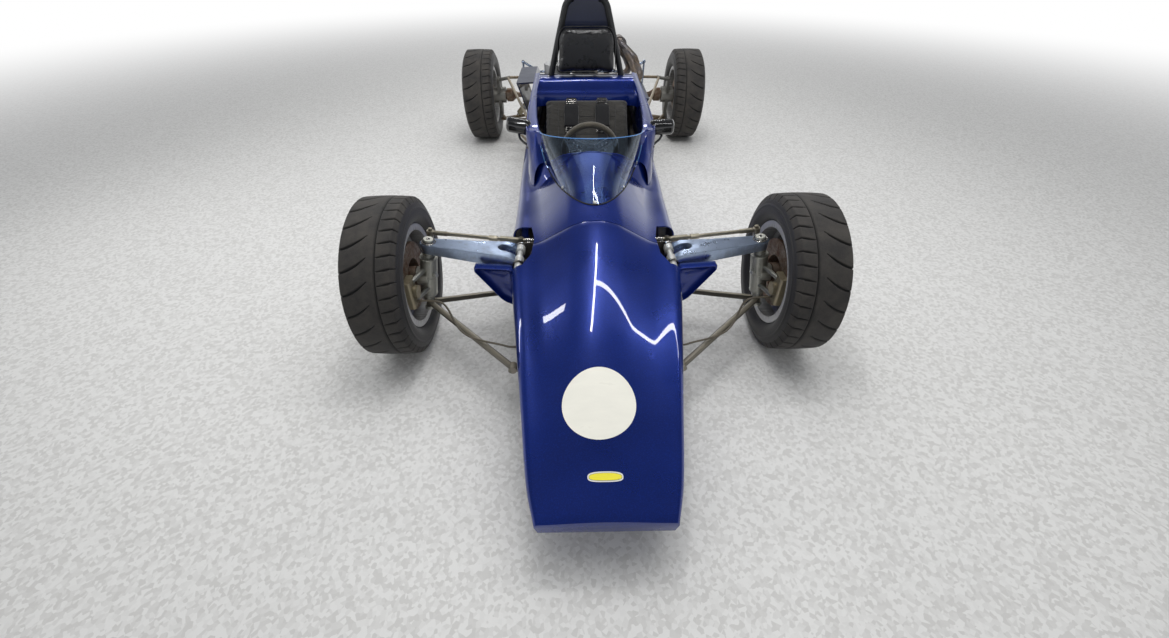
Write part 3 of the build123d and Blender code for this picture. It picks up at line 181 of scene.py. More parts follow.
class Nodes(Tree):
    """Nodes of a material's or the world's tree."""

    prefix = "ShaderNode"

    def __init__(self, tree):
        super().__init__(tree)
        self.coords = self.node("TexCoord")

    def place(self, scale):
        """Object coordinates, stretched for grain or brush marks."""
        values = {"Vector": self.coords.outputs["Object"], "Scale": scale}
        return self.node("Mapping", values).outputs["Vector"]

    def noise(self, scale, detail=3.0, rough=0.5, vector=None):
        values = {"Scale": scale, "Detail": detail, "Roughness": rough,
                  "Vector": vector or self.coords.outputs["Object"]}
        return self.node("TexNoise", values).outputs["Fac"]

    def cells(self, scale, output="Distance"):
        values = {"Scale": scale, "Vector": self.coords.outputs["Object"]}
        return self.node("TexVoronoi", values).outputs[output]

    def speckle(self, scale):
        """A random grey for each small cell."""
        return self.node("SeparateColor", {"Color": self.cells(scale, "Color")}).outputs["Red"]

    def ramp(self, value, stops):
        """Colour ramp; stops are (position, colour)."""
        node = self.node("ValToRGB", {"Fac": value})
        ramp = node.color_ramp
        while len(ramp.elements) < len(stops):
            ramp.elements.new(0.5)
        for element, (position, color) in zip(ramp.elements, stops):
            element.position, element.color = position, (*color, 1.0)
        return node.outputs["Color"]

    def mix(self, factor, first, second):
        values = {0: factor, 6: first, 7: second}
        values = {key: (*value, 1.0) if isinstance(value, tuple) else value for key, value in values.items()}
        return self.node("Mix", values, data_type="RGBA").outputs[2]

    def math(self, operation, *values):
        return self.node("Math", dict(enumerate(values)), operation=operation).outputs[0]

    def span(self, value, low, high, to_low=0.0, to_high=1.0):
        values = {"Value": value, "From Min": low, "From Max": high, "To Min": to_low, "To Max": to_high}
        return self.node("MapRange", values).outputs["Result"]

    def attribute(self, name):
        return self.node("Attribute", attribute_name=name).outputs["Fac"]

    def mirrored(self):
        """1 for rays seen in metal or through glass."""
        path = self.node("LightPath").outputs
        return self.math("MAXIMUM", path["Is Glossy Ray"], path["Is Transmission Ray"])


class Finish(Nodes):
    """A material with a principled shader, and short calls to add its pattern."""

    def __init__(self, name, color, rough, metal=0.0, **constants):
        self.material = bpy.data.materials.new(name)
        self.material.use_nodes = True
        super().__init__(self.material.node_tree)
        self.shader = self.tree.nodes["Principled BSDF"]
        self.give(Base_Color=(*color, 1.0), Roughness=rough, Metallic=metal, **constants)

    def give(self, **values):
        """Sets or links inputs of the shader."""
        self.set(self.shader, {key.replace("_", " "): value for key, value in values.items()})

    def bump(self, height, distance, strength=1.0):
        """Adds a relief on top of any set before."""
        values = {"Height": height, "Distance": distance, "Strength": strength}
        earlier = self.shader.inputs["Normal"].links
        if earlier:
            values["Normal"] = earlier[0].from_socket
        self.give(Normal=self.node("Bump", values).outputs["Normal"])

    def edges(self):
        """Bright where a form's edges are worn."""
        return self.span(self.node("NewGeometry").outputs["Pointiness"], 0.52, 0.60)


FINISHES = {}


def metal_paint(name, color, light, rough, coat=1.0):
    f = Finish(name, color, rough, 0.55, Coat_Weight=coat, Coat_Roughness=0.02, Coat_IOR=1.5)
    base = f.mix(f.span(f.noise(2.6, 2.0), 0.3, 0.7), color, light)
    f.give(Base_Color=f.mix(f.span(f.speckle(650.0), 0.55, 1.0, 0.0, 0.25), base, shade(light, 2.2)),
           Roughness=f.span(f.noise(9.0, 4.0), 0.3, 0.7, rough - 0.05, rough + 0.07))
    f.bump(f.noise(55.0, 2.0), 0.00012, 0.25)
    return f.material


def brushed_metal(name, color, rough, stretch=(1.0, 1.0, 14.0), grime=(0.10, 0.08, 0.05), metal=1.0):
    f = Finish(name, color, rough, metal)
    lines = f.noise(60.0, 4.0, 0.6, f.place(stretch))
    blotch = f.noise(22.0, 5.0, 0.6)
    base = f.mix(f.span(lines, 0.25, 0.75), shade(color, 0.78), color)
    f.give(Base_Color=f.mix(f.span(blotch, 0.55, 0.80, 0.0, 0.55), base, grime),
           Roughness=f.span(blotch, 0.3, 0.7, rough - 0.08, rough + 0.18))
    f.bump(lines, 0.00025, 0.35)
    return f.material


def cast_metal(name, color, rough, grime, metal=0.8):
    f = Finish(name, color, rough, metal)
    grain = f.noise(420.0, 3.0, 0.7)
    blotch = f.noise(16.0, 5.0, 0.65)
    base = f.mix(f.span(grain, 0.3, 0.7), shade(color, 0.72), color)
    base = f.mix(f.span(blotch, 0.48, 0.74, 0.0, 0.7), base, grime)
    f.give(Base_Color=f.mix(f.edges(), base, shade(color, 1.5)),
           Roughness=f.span(blotch, 0.3, 0.7, rough - 0.05, rough + 0.2))
    f.bump(grain, 0.0006, 0.5)
    return f.material


def tube_paint(name, color, rough, chip):
    f = Finish(name, color, rough, 0.35, Coat_Weight=0.3, Coat_Roughness=0.2)
    chips = f.span(f.noise(90.0, 6.0, 0.7), 0.68, 0.72)
    dust = f.noise(12.0, 4.0)
    base = f.mix(f.span(dust, 0.35, 0.75), color, shade(color, 0.65, 0.01))
    f.give(Base_Color=f.mix(f.math("MAXIMUM", chips, f.edges()), base, chip),
           Roughness=f.span(dust, 0.3, 0.7, rough, rough + 0.2))
    f.bump(f.noise(200.0, 2.0), 0.0003, 0.3)
    return f.material


def moulded_plastic(name, color, rough, coat=0.0):
    f = Finish(name, color, rough, 0.0, Coat_Weight=coat, Coat_Roughness=0.06)
    wipe = f.noise(8.0, 4.0, 0.6, f.place((1.0, 4.0, 1.0)))
    f.give(Base_Color=f.mix(f.span(wipe, 0.4, 0.8, 0.0, 0.4), color, shade(color, 0.8, 0.02)),
           Roughness=f.span(wipe, 0.3, 0.7, max(0.05, rough - 0.08), rough + 0.12))
    f.bump(f.noise(900.0, 2.0, 0.6), 0.0002, 0.4 if coat == 0.0 else 0.05)
    return f.material


def tyre_rubber(name):
    f = Finish(name, (0.022, 0.021, 0.021), 0.78, 0.0, Sheen_Weight=0.05)
    grain = f.noise(380.0, 5.0, 0.7)
    dust = f.noise(14.0, 5.0, 0.65)
    tread = f.attribute("tread")
    base = f.mix(f.span(grain, 0.3, 0.75), (0.016, 0.0155, 0.016), (0.034, 0.032, 0.031))
    dusty = f.mix(f.span(dust, 0.35, 0.8, 0.05, 0.75), base, (0.075, 0.066, 0.056))
    # The grooves are painted near black: painted shade in the depth of the cut grooves.
    f.give(Base_Color=f.mix(f.attribute("groove"), f.mix(tread, base, dusty), (0.006, 0.006, 0.006)),
           Roughness=f.span(tread, 0.0, 1.0, 0.52, 0.86))
    f.bump(grain, 0.0006, 0.5)
    return f.material


def woven_cloth(name, color, light, scale, creases=0.0):
    f = Finish(name, color, 0.92, 0.0, Sheen_Weight=0.25, Sheen_Roughness=0.5)
    threads = [f.node("TexWave", {"Scale": scale / 6.3, "Vector": f.coords.outputs["Object"]},
                      bands_direction=way).outputs["Fac"] for way in ("X", "DIAGONAL")]
    weave = f.math("MULTIPLY", *threads)
    worn = f.span(f.noise(9.0, 4.0, 0.6), 0.5, 0.8, 0.0, 0.5)
    f.give(Base_Color=f.mix(worn, f.mix(weave, color, light), shade(light, 1.6, 0.01)))
    f.bump(weave, 0.0006, 0.6)
    f.bump(f.noise(70.0, 4.0), 0.0012, 0.35)
    if creases:
        f.bump(f.noise(13.0, 3.0, 0.55, f.place((1.0, 2.4, 2.4))), creases, 0.7)
    return f.material


def grained_leather(name, color, rough):
    f = Finish(name, color, rough, 0.0, Coat_Weight=0.25, Coat_Roughness=0.3)
    creases = f.noise(26.0, 5.0, 0.6)
    f.give(Base_Color=f.mix(f.span(creases, 0.3, 0.75), color, shade(color, 1.9, 0.004)),
           Roughness=f.span(creases, 0.3, 0.7, rough - 0.1, rough + 0.15))
    f.bump(f.cells(430.0), 0.0006, 0.5)
    f.bump(creases, 0.0014, 0.4)
    return f.material


def heated_pipe(name):
    f = Finish(name, (0.20, 0.16, 0.13), 0.42, 0.9)
    rust = f.noise(60.0, 6.0, 0.7)
    base = f.ramp(f.noise(7.0, 3.0), ((0.30, (0.16, 0.13, 0.11)), (0.48, (0.27, 0.21, 0.16)),
                                      (0.60, (0.20, 0.19, 0.20)), (0.78, (0.33, 0.27, 0.20))))
    f.give(Base_Color=f.mix(f.span(rust, 0.55, 0.78, 0.0, 0.8), base, (0.16, 0.075, 0.035)),
           Roughness=f.span(rust, 0.3, 0.75, 0.32, 0.75), Metallic=f.span(rust, 0.5, 0.8, 0.9, 0.3))
    f.bump(rust, 0.0006, 0.5)
    return f.material


def turned_iron(name):
    f = Finish(name, (0.21, 0.15, 0.11), 0.42, 0.85)
    rust = f.noise(30.0, 6.0, 0.7)
    rings = f.noise(140.0, 2.0, 0.5, f.place((40.0, 1.0, 1.0)))
    base = f.mix(f.span(rings, 0.3, 0.7), (0.19, 0.15, 0.12), (0.34, 0.27, 0.21))
    f.give(Base_Color=f.mix(f.span(rust, 0.45, 0.70, 0.0, 0.85), base, (0.20, 0.085, 0.04)),
           Roughness=f.span(rust, 0.3, 0.7, 0.34, 0.8))
    f.bump(rust, 0.0004, 0.5)
    return f.material


def clear_acrylic(name):
    f = Finish(name, (0.46, 0.62, 0.84), 0.015, 0.0, Transmission_Weight=1.0, IOR=1.40)
    haze = f.noise(60.0, 4.0, 0.6, f.place((1.0, 0.25, 0.25)))
    f.give(Roughness=f.span(haze, 0.45, 0.8, 0.01, 0.06))
    f.bump(f.noise(4.0, 2.0), 0.0004, 0.15)
    return f.material


def make_finishes():
    paint = bpy.context.scene.racing_car_paint
    body, cover, disc, badge = (tuple(color) for color in (paint.body, paint.cover, paint.disc, paint.badge))
    even = (1.0, 1.0, 1.0)
    for make, name, *values in (
        (metal_paint, "body_paint", body, shade(body, 1.7), 0.30),
        (metal_paint, "dark_paint", cover, shade(cover, 1.6), 0.34, 0.55),
        (moulded_plastic, "white_vinyl", disc, 0.32, 0.6),
        (moulded_plastic, "badge_enamel", badge, 0.25, 0.8),
        (moulded_plastic, "badge_rim", (0.74, 0.74, 0.72), 0.3, 0.8),
        (moulded_plastic, "badge_line", (0.16, 0.17, 0.10), 0.3, 0.8),
        (tube_paint, "frame_paint", (0.015, 0.016, 0.018), 0.42, (0.10, 0.09, 0.08)),
        (tube_paint, "bronze_paint", (0.17, 0.12, 0.065), 0.38, (0.34, 0.29, 0.22)),
        (tube_paint, "spring_paint", (0.48, 0.35, 0.02), 0.35, (0.2, 0.15, 0.1)),
        (tube_paint, "wishbone_paint", (0.055, 0.048, 0.034), 0.28, (0.32, 0.29, 0.23)),
        (brushed_metal, "aluminium", (0.58, 0.58, 0.58), 0.38),
        (brushed_metal, "bright_steel", (0.62, 0.60, 0.57), 0.20, (14.0, 1.0, 1.0)),
        # Plated steel with a blue tint that is a painted reflection of the sky.
        (brushed_metal, "plated_steel", (0.42, 0.51, 0.68), 0.30, (1.0, 10.0, 1.0), (0.20, 0.16, 0.11)),
        (brushed_metal, "zinc_plating", (0.66, 0.66, 0.64), 0.36, even, (0.36, 0.34, 0.29), 0.6),
        (brushed_metal, "passivated_steel", (0.48, 0.44, 0.35), 0.42, (14.0, 1.0, 1.0)),
        (brushed_metal, "radiator_core", (0.09, 0.09, 0.095), 0.50, (1.0, 1.0, 20.0)),
        (brushed_metal, "mirror_glass", (0.85, 0.86, 0.87), 0.05, even, (0.7, 0.7, 0.7)),
        (cast_metal, "machined_cast", (0.40, 0.40, 0.36), 0.36, (0.15, 0.14, 0.11)),
        (cast_metal, "gold_plating", (0.35, 0.305, 0.21), 0.40, (0.10, 0.085, 0.06)),
        (cast_metal, "grey_cast", (0.24, 0.235, 0.215), 0.44, (0.10, 0.09, 0.07)),
        (cast_metal, "rim_paint", (0.42, 0.42, 0.42), 0.42, (0.22, 0.20, 0.18), 0.6),
        (moulded_plastic, "black_plastic", (0.014, 0.014, 0.015), 0.55),
        (moulded_plastic, "black_gloss", (0.006, 0.006, 0.007), 0.14, 1.0),
        (moulded_plastic, "gauge_face", (0.02, 0.02, 0.022), 0.35, 0.5),
        (moulded_plastic, "gauge_white", (0.75, 0.75, 0.7), 0.4, 0.5),
        (moulded_plastic, "screen_edge", (0.10, 0.28, 0.62), 0.12, 0.8),
        (moulded_plastic, "black_rubber", (0.016, 0.016, 0.017), 0.7),
        (moulded_plastic, "hose_rubber", (0.10, 0.085, 0.06), 0.45, 0.2),
        (woven_cloth, "seat_cloth", (0.018, 0.017, 0.015), (0.060, 0.056, 0.049), 520.0, 0.012),
        (woven_cloth, "belt_webbing", (0.004, 0.004, 0.005), (0.012, 0.012, 0.013), 900.0),
        (woven_cloth, "wheel_suede", (0.050, 0.044, 0.033), (0.115, 0.100, 0.075), 1500.0),
        (grained_leather, "headrest_cover", (0.006, 0.006, 0.007), 0.30),
        (heated_pipe, "header_steel"), (turned_iron, "disc_iron"), (clear_acrylic, "screen_acrylic"),
        (tyre_rubber, "tyre_rubber"), (studio_floor, "pale_floor"),
    ):
        FINISHES[name] = make(name, *values)


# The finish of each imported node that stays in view
NODE_FINISH = {
    "undertray": "aluminium", "firewall": "aluminium", "dash_panel": "black_plastic",
    "roll_hoop": "frame_paint", "chassis_frame": "frame_paint", "frame_crossmembers": "frame_paint",
    "frame_brackets": "frame_paint", "side_pods": "dark_paint", "radiators": "radiator_core",
    "rack_housing": "aluminium", "steering_rack": "bright_steel", "rocker_arms": "plated_steel",
    "rocker_pivots": "zinc_plating", "front_wishbones": "wishbone_paint", "rear_uprights": "grey_cast",
    "rear_links": "bronze_paint", "rear_dampers": "bright_steel", "antiroll_bar": "plated_steel",
    "engine_block": "grey_cast", "carburettor": "aluminium", "exhaust_headers": "header_steel",
    "gearbox": "aluminium", "cockpit_controls": "bright_steel", "steering_wheel": "wheel_suede",
    "mirrors": "black_gloss", "seat_back_panel": "body_paint", "engine_cover": "dark_paint",
}
SIDED_FINISH = {
    "tie_rod": "passivated_steel", "front_upright": "machined_cast", "brake_caliper": "gold_plating",
    "front_rim": "rim_paint", "rear_rim": "rim_paint", "front_disc": "disc_iron", "driveshaft": "disc_iron",
}
NODE_FINISH.update({f"{name}_{side}": finish for name, finish in SIDED_FINISH.items()
                    for side in ("left", "right")})


def dress(mesh, finish):
    mesh.materials.clear()
    mesh.materials.append(FINISHES[finish])


def dress_nodes():
    """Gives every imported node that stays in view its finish."""
    for name, finish in NODE_FINISH.items():
        dress(frame["nodes"][name].data, finish)


# ---------------------------------------------------------------- mesh helpers


def linked(name, data):
    """A new object in the scene."""
    obj = bpy.data.objects.new(name, data)
    bpy.context.scene.collection.objects.link(obj)
    return obj


def mesh_object(name, vertices, faces, finish, smooth=40.0):
    """A mesh object in the frame; smooth is the crease angle in degrees."""
    mesh = bpy.data.meshes.new(name)
    mesh.from_pydata([tuple(v) for v in vertices], [], faces)
    mesh.update()
    return add_object(name, mesh, finish, smooth)


def add_object(name, mesh, finish, smooth=40.0):
    dress(mesh, finish)
    crease(mesh, smooth)
    return linked(name, mesh)


def crease(mesh, angle):
    """Smooth shading with sharp edges where two faces meet at more than the angle."""
    mesh.polygons.foreach_set("use_smooth", [True] * len(mesh.polygons))
    mesh.set_sharp_from_angle(angle=math.radians(angle))


def evaluated(obj):
    """The mesh of an object with its modifiers applied."""
    graph = bpy.context.evaluated_depsgraph_get()
    return bpy.data.meshes.new_from_object(obj.evaluated_get(graph))


def baked(obj):
    """Applies the modifiers of an object to its mesh."""
    old, obj.data = obj.data, evaluated(obj)
    obj.modifiers.clear()
    if old.users == 0:
        bpy.data.meshes.remove(old)
    return obj


def discard(objects):
    for obj in objects:
        data = obj.data
        bpy.data.objects.remove(obj)
        bpy.data.meshes.remove(data)


def bevelled(obj, width, segments=2, angle=35.0):
    modifier = obj.modifiers.new("Bevel", "BEVEL")
    modifier.width, modifier.segments = width, segments
    modifier.limit_method, modifier.angle_limit = "ANGLE", math.radians(angle)
    modifier.harden_normals = False
    baked(obj)
    crease(obj.data, 40.0)
    return obj


def thickened(obj, thickness, offset=-1.0):
    modifier = obj.modifiers.new("Thickness", "SOLIDIFY")
    modifier.thickness, modifier.offset = thickness, offset
    return baked(obj)


def cut(obj, cutters):
    """Takes the cutters' forms out of an object, then removes them."""
    for cutter in cutters:
        modifier = obj.modifiers.new("Cut", "BOOLEAN")
        modifier.operation, modifier.object, modifier.solver = "DIFFERENCE", cutter, "EXACT"
        baked(obj)
        discard([cutter])
    return obj


def outwards(obj, merge=True):
    """Turns every face outwards, after merging the points that coincide."""
    bm = bmesh.new()
    bm.from_mesh(obj.data)
    if merge:
        bmesh.ops.remove_doubles(bm, verts=bm.verts, dist=1e-6)
    bmesh.ops.recalc_face_normals(bm, faces=bm.faces)
    bm.to_mesh(obj.data)
    bm.free()
    return obj


def loft(name, rings, finish, smooth=40.0, closed=True, looped=False):
    """Mesh through rings of points. Closed rings get end caps, unless the last ring joins the first."""
    n, count = len(rings[0]), len(rings)
    vertices = [point for ring in rings for point in ring]
    faces = []
    for i in range(count if looped else count - 1):
        a, b = i * n, (i + 1) % count * n
        faces += [(a + k, a + (k + 1) % n, b + (k + 1) % n, b + k) for k in range(n if closed else n - 1)]
    if closed and not looped:
        faces += [tuple(range(n))[::-1], tuple(range((count - 1) * n, count * n))]
    return mesh_object(name, vertices, faces, finish, smooth)


def slab(name, top, low, n, finish, smooth=40.0):
    """Closed sheet between two grids of points, with n points to a row."""
    k, faces = len(top), []
    for start in range(0, k - n, n):
        for a in range(start, start + n - 1):
            faces += [(a, a + 1, a + n + 1, a + n), (k + a, k + a + n, k + a + n + 1, k + a + 1)]
        b = start + n - 1
        faces += [(start, start + n, k + start + n, k + start), (b, k + b, k + b + n, b + n)]
    for a, b in zip(range(n - 1), range(k - n, k - 1)):
        faces += [(a, k + a, k + a + 1, a + 1), (b, b + 1, k + b + 1, k + b)]
    return outwards(mesh_object(name, top + low, faces, finish, smooth))


def prism(name, outline, z_low, z_high, finish="body_paint"):
    """Upright prism from an outline of (x, y) points."""
    n = len(outline)
    vertices = [(x, y, z) for z in (z_low, z_high) for x, y in outline]
    faces = [tuple(range(n))[::-1], tuple(range(n, 2 * n))]
    faces += [(i, (i + 1) % n, n + (i + 1) % n, n + i) for i in range(n)]
    return outwards(mesh_object(name, vertices, faces, finish), merge=False)


def box_cutter(low, high):
    corners = [(low[0], low[1]), (high[0], low[1]), (high[0], high[1]), (low[0], high[1])]
    return prism("cutter", corners, low[2], high[2])


def joined(name, objects, smooth=35.0):
    """One object from several, each with its own materials kept."""
    bm = bmesh.new()
    materials = []
    for obj in objects:
        start = len(bm.faces)
        bm.from_mesh(obj.data)
        bm.faces.ensure_lookup_table()
        slots = []
        for material in obj.data.materials:
            if material not in materials:
                materials.append(material)
            slots.append(materials.index(material))
        for face in bm.faces[start:]:
            face.material_index = slots[face.material_index]
    mesh = bpy.data.meshes.new(name)
    bm.to_mesh(mesh)
    bm.free()
    for material in materials:
        mesh.materials.append(material)
    discard(objects)
    crease(mesh, smooth)
    return linked(name, mesh)


def moved(obj, matrix):
    obj.data.transform(matrix)
    if matrix.determinant() < 0:
        obj.data.flip_normals()
    return obj


def twin(obj, name):
    """Mirror image of an object on the other side of the car."""
    return moved(linked(name, obj.data.copy()), Matrix.Scale(-1, 4, (1, 0, 0)))


def paired(name, left, smooth=35.0):
    """One object from a part on the left and its mirror image."""
    return joined(name, [left, twin(left, name + "_right")], smooth)


def at_axle(x, y, z):
    """A point counted from the front axle, in the frame."""
    return Vector((x, y + AXLE_Y, z))


def settle(obj, body, *nodes, slot=None):
    """The piece rides on a body and stands for the nodes it is made from."""
    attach(obj, body)
    if nodes:
        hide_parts(*nodes)
    return obj


def circle(radius, count):
    """Evenly spaced points (x, y) on a circle."""
    return [(radius * math.cos(a), radius * math.sin(a))
            for a in np.linspace(0, 2 * math.pi, count, endpoint=False)]


def circle_points(centre, normal, radius, count, start=0.0):
    """Evenly spaced points on a circle in space."""
    normal = Vector(normal).normalized()
    side = normal.cross(Vector((0, 0, 1)))
    if side.length < 1e-3:
        side = normal.cross(Vector((0, 1, 0)))
    side.normalize()
    up = side.cross(normal)
    return [Vector(centre) + (side * math.cos(a) + up * math.sin(a)) * radius
            for a in (start + 2 * math.pi * i / count for i in range(count))]


def spun(name, profile, finish, steps=96, smooth=35.0):
    """Profile of (x, radius) points turned about the X axis."""
    rings = [[(x, r * s, r * c) for x, r in profile] for c, s in circle(1.0, steps)]
    obj = outwards(loft(name, rings, finish, smooth, looped=True))
    crease(obj.data, smooth)
    return obj


def rod(name, start, end, radius, finish, steps=20, end_radius=None):
    """Round bar between two points, with its ends slightly rounded."""
    start, end = Vector(start), Vector(end)
    length = (end - start).length
    last = radius if end_radius is None else end_radius
    lip = min(radius, last) * 0.25
    profile = [(0.0, 0.0), (0.0, radius - lip), (lip, radius), (length - lip, last), (length, last - lip),
               (length, 0.0)]
    obj = spun(name, profile, finish, steps)
    turn = Vector((1, 0, 0)).rotation_difference((end - start).normalized()).to_matrix().to_4x4()
    return moved(obj, Matrix.Translation(start) @ turn)


def drawn_curve(name, points, resolution, radius=0.0, sides=0):
    """The mesh of a smooth curve with the points as its control points, bare or with a round section."""
    curve = bpy.data.curves.new(name, "CURVE")
    curve.dimensions = "3D"
    spline = curve.splines.new("NURBS")
    spline.points.add(len(points) - 1)
    for point, p in zip(spline.points, points):
        point.co = (*p, 1.0)
    spline.order_u = 3
    spline.use_endpoint_u = True
    spline.resolution_u = resolution
    if radius:
        curve.bevel_depth = radius
        curve.bevel_resolution = max(1, sides // 4)
        curve.use_fill_caps = True
    obj = linked(name, curve)
    mesh = evaluated(obj)
    bpy.data.objects.remove(obj)
    bpy.data.curves.remove(curve)
    return mesh


def tube_along(name, points, radius, finish, sides=8, resolution=2):
    """Smooth round tube along points."""
    return add_object(name, drawn_curve(name, points, resolution, radius, sides), finish, 50.0)


# ---------------------------------------------------------------- geometry nodes


class Growth(Tree):
    """A geometry node tree with named inputs, built step by step."""

    def __init__(self, name, inputs):
        super().__init__(bpy.data.node_groups.new(name, "GeometryNodeTree"))
        self.ids = {}
        for label, kind, value in inputs:
            item = self.tree.interface.new_socket(label, in_out="INPUT", socket_type="NodeSocket" + kind)
            if value is not None:
                item.default_value = value
            self.ids[label] = item.identifier
        self.tree.interface.new_socket("Geometry", in_out="OUTPUT", socket_type="NodeSocketGeometry")
        self.given = self.node("NodeGroupInput")
        self.result = self.node("NodeGroupOutput")

    def take(self, label):
        return self.given.outputs[label]

    def scaled(self, label, factor):
        return self.node("ShaderNodeMath", {0: self.take(label), 1: factor}, operation="MULTIPLY").outputs[0]

    def give(self, socket, material):
        real = self.node("GeometryNodeRealizeInstances", {"Geometry": socket})
        dressed = self.node("GeometryNodeSetMaterial", {"Geometry": real.outputs[0], "Material": material})
        self.set(self.result, {0: dressed.outputs[0]})


def screw_tree():
    """A domed screw head on every point of the mesh, turned to the point's normal."""
    inputs = (("Geometry", "Geometry", None), ("Radius", "Float", 0.005), ("Height", "Float", 0.0025),
              ("Sides", "Int", 14), ("Finish", "Material", None))
    g = Growth("screw_heads", inputs)
    size = {"Vertices": g.take("Sides"), "Depth": g.take("Height")}
    head = g.node("GeometryNodeMeshCylinder", {**size, "Side Segments": 1, "Radius": g.take("Radius")})
    low = g.node("GeometryNodeMeshCone", {**size, "Radius Bottom": g.take("Radius"),
                                          "Radius Top": g.scaled("Radius", 0.55)})
    lift = g.node("ShaderNodeCombineXYZ", {"Z": g.scaled("Height", 0.5)})
    raised = g.node("GeometryNodeTransform", {"Geometry": low.outputs[0], "Translation": lift.outputs[0]})
    both = g.node("GeometryNodeJoinGeometry")
    for source in (raised, head):
        g.set(both, {0: source.outputs[0]})
    out = g.node("GeometryNodeInputNamedAttribute", {"Name": "out"}, data_type="FLOAT_VECTOR")
    turn = g.node("FunctionNodeAlignRotationToVector", {"Vector": out.outputs[0]}, axis="Z")
    spread = g.node("GeometryNodeInstanceOnPoints", {
        "Points": g.take("Geometry"), "Instance": both.outputs[0], "Rotation": turn.outputs[0]})
    g.give(spread.outputs[0], g.take("Finish"))
    return g


def grown(name, growth, mesh, values, smooth=35.0):
    """The plain mesh that a tree makes from a mesh of points."""
    obj = linked(name, mesh)
    modifier = obj.modifiers.new("Growth", "NODES")
    modifier.node_group = growth.tree
    for label, value in values.items():
        modifier[growth.ids[label]] = value
    baked(obj)
    crease(obj.data, smooth)
    return obj


def screws(name, spots, finish, radius, height, sides=14):
    """Screw heads on (point, normal) pairs."""
    mesh = bpy.data.meshes.new(name)
    mesh.from_pydata([tuple(point) for point, _ in spots], [], [])
    layer = mesh.attributes.new("out", "FLOAT_VECTOR", "POINT")
    layer.data.foreach_set("vector", [c for _, normal in spots for c in normal])
    values = {"Radius": radius, "Height": height, "Sides": sides, "Finish": FINISHES[finish]}
    return grown(name, screw_tree(), mesh, values)


# ---------------------------------------------------------------- body surface


def smooth_rows(rows, steps):
    """Rows of sections at many stations, on a curve through the given ones that never overshoots."""
    table = np.array(rows, float)
    y = table[:, 0]
    slopes = np.zeros_like(table)
    h = np.diff(y)
    delta = np.diff(table, axis=0) / h[:, None]
    for i in range(1, len(y) - 1):
        same = delta[i - 1] * delta[i] > 0
        w1, w2 = 2 * h[i] + h[i - 1], h[i] + 2 * h[i - 1]
        with np.errstate(divide="ignore", invalid="ignore"):
            mean = (w1 + w2) / (w1 / delta[i - 1] + w2 / delta[i])
        slopes[i] = np.where(same, mean, 0.0)
    slopes[0], slopes[-1] = delta[0], delta[-1]
    out = []
    for yy in steps:
        i = int(min(max(np.searchsorted(y, yy) - 1, 0), len(y) - 2))
        t = (yy - y[i]) / h[i]
        a, b = 2 * t ** 3 - 3 * t ** 2 + 1, t ** 3 - 2 * t ** 2 + t
        c, d = -2 * t ** 3 + 3 * t ** 2, t ** 3 - t ** 2
        row = a * table[i] + b * h[i] * slopes[i] + c * table[i + 1] + d * h[i] * slopes[i + 1]
        row[0] = yy
        out.append(row)
    return out


def section(row, inset=0.0, counts=(6, 8, 8, 4, 16)):
    """Half section from the floor's edge to the crown, as (x, z) points."""
    _, half, corner, shoulder, top, dome_share, hollow_share, bottom = row
    reach, rise = half - corner, top - shoulder
    limit = (reach ** 2 + rise ** 2) / (2 * rise)
    total = (dome_share + hollow_share) * limit
    flank = math.sqrt(max(reach ** 2 + rise ** 2 - 2 * total * rise, 1e-9))
    angle = math.atan2(reach, total - rise) - math.atan2(flank, total)
    dome, hollow = dome_share * limit - inset, hollow_share * limit + inset
    corner, top, shoulder = corner - inset, top - inset, shoulder - inset
    side = reach + corner
    side_n, corner_n, hollow_n, flank_n, dome_n = counts
    points = []
    foot = (side - 0.008, bottom + inset)
    for i in range(side_n):
        t = i / side_n
        points.append((foot[0] + (side - foot[0]) * t, foot[1] + (shoulder - corner - foot[1]) * t))
    for i in range(corner_n):
        a = math.pi / 2 * i / corner_n
        points.append((reach + corner * math.cos(a), shoulder - corner + corner * math.sin(a)))
    for i in range(hollow_n):
        a = angle * i / hollow_n
        points.append((reach - hollow * math.sin(a), shoulder + hollow * (1 - math.cos(a))))
    start = (reach - hollow * math.sin(angle), shoulder + hollow * (1 - math.cos(angle)))
    end = (dome * math.sin(angle), top - dome * (1 - math.cos(angle)))
    for i in range(flank_n):
        t = i / flank_n
        points.append((start[0] + (end[0] - start[0]) * t, start[1] + (end[1] - start[1]) * t))
    for i in range(dome_n + 1):
        a = angle * (1 - i / dome_n)
        points.append((dome * math.sin(a), top - dome * (1 - math.cos(a))))
    return points


def skin(name, rows, inset=0.0):
    """Closed body form through the rows."""
    rings = []
    for row in rows:
        ring = [(x, row[0] + AXLE_Y, z) for x, z in section(row, inset)]
        rings.append(ring + [(-x, y, z) for x, y, z in reversed(ring[:-1])])
    return outwards(loft(name, rings, "body_paint"))


# Points on each part of a half section that heights are read from
FINE = (6, 24, 40, 20, 60)


def body_height(x, y):
    """Height of the outer skin over a point of the nose, scuttle or cockpit sides."""
    row = smooth_rows(NOSE_ROWS if y <= DASH_Y else COCKPIT_ROWS, [y])[0]
    shoulder = row[3] - row[2]
    half = [point for point in section(row, 0.0, FINE) if point[1] > shoulder][::-1]
    return float(np.interp(abs(x), [p[0] for p in half], [p[1] for p in half]))


def body_normal(x, y, step=0.004):
    dx = (body_height(x + step, y) - body_height(x - step, y)) / (2 * step)
    dy = (body_height(x, y + step) - body_height(x, y - step)) / (2 * step)
    return Vector((-dx, -dy, 1.0)).normalized()


def rim_x(y, z=RIM_TOP):
    """Half width of the cockpit side's outer skin at a height."""
    half = section(smooth_rows(COCKPIT_ROWS, [y])[0], 0.0, FINE)
    return float(np.interp(z, [p[1] for p in half], [p[0] for p in half]))


def stations(low, high, step):
    return list(np.linspace(low, high, max(2, int(round((high - low) / step)) + 1)))


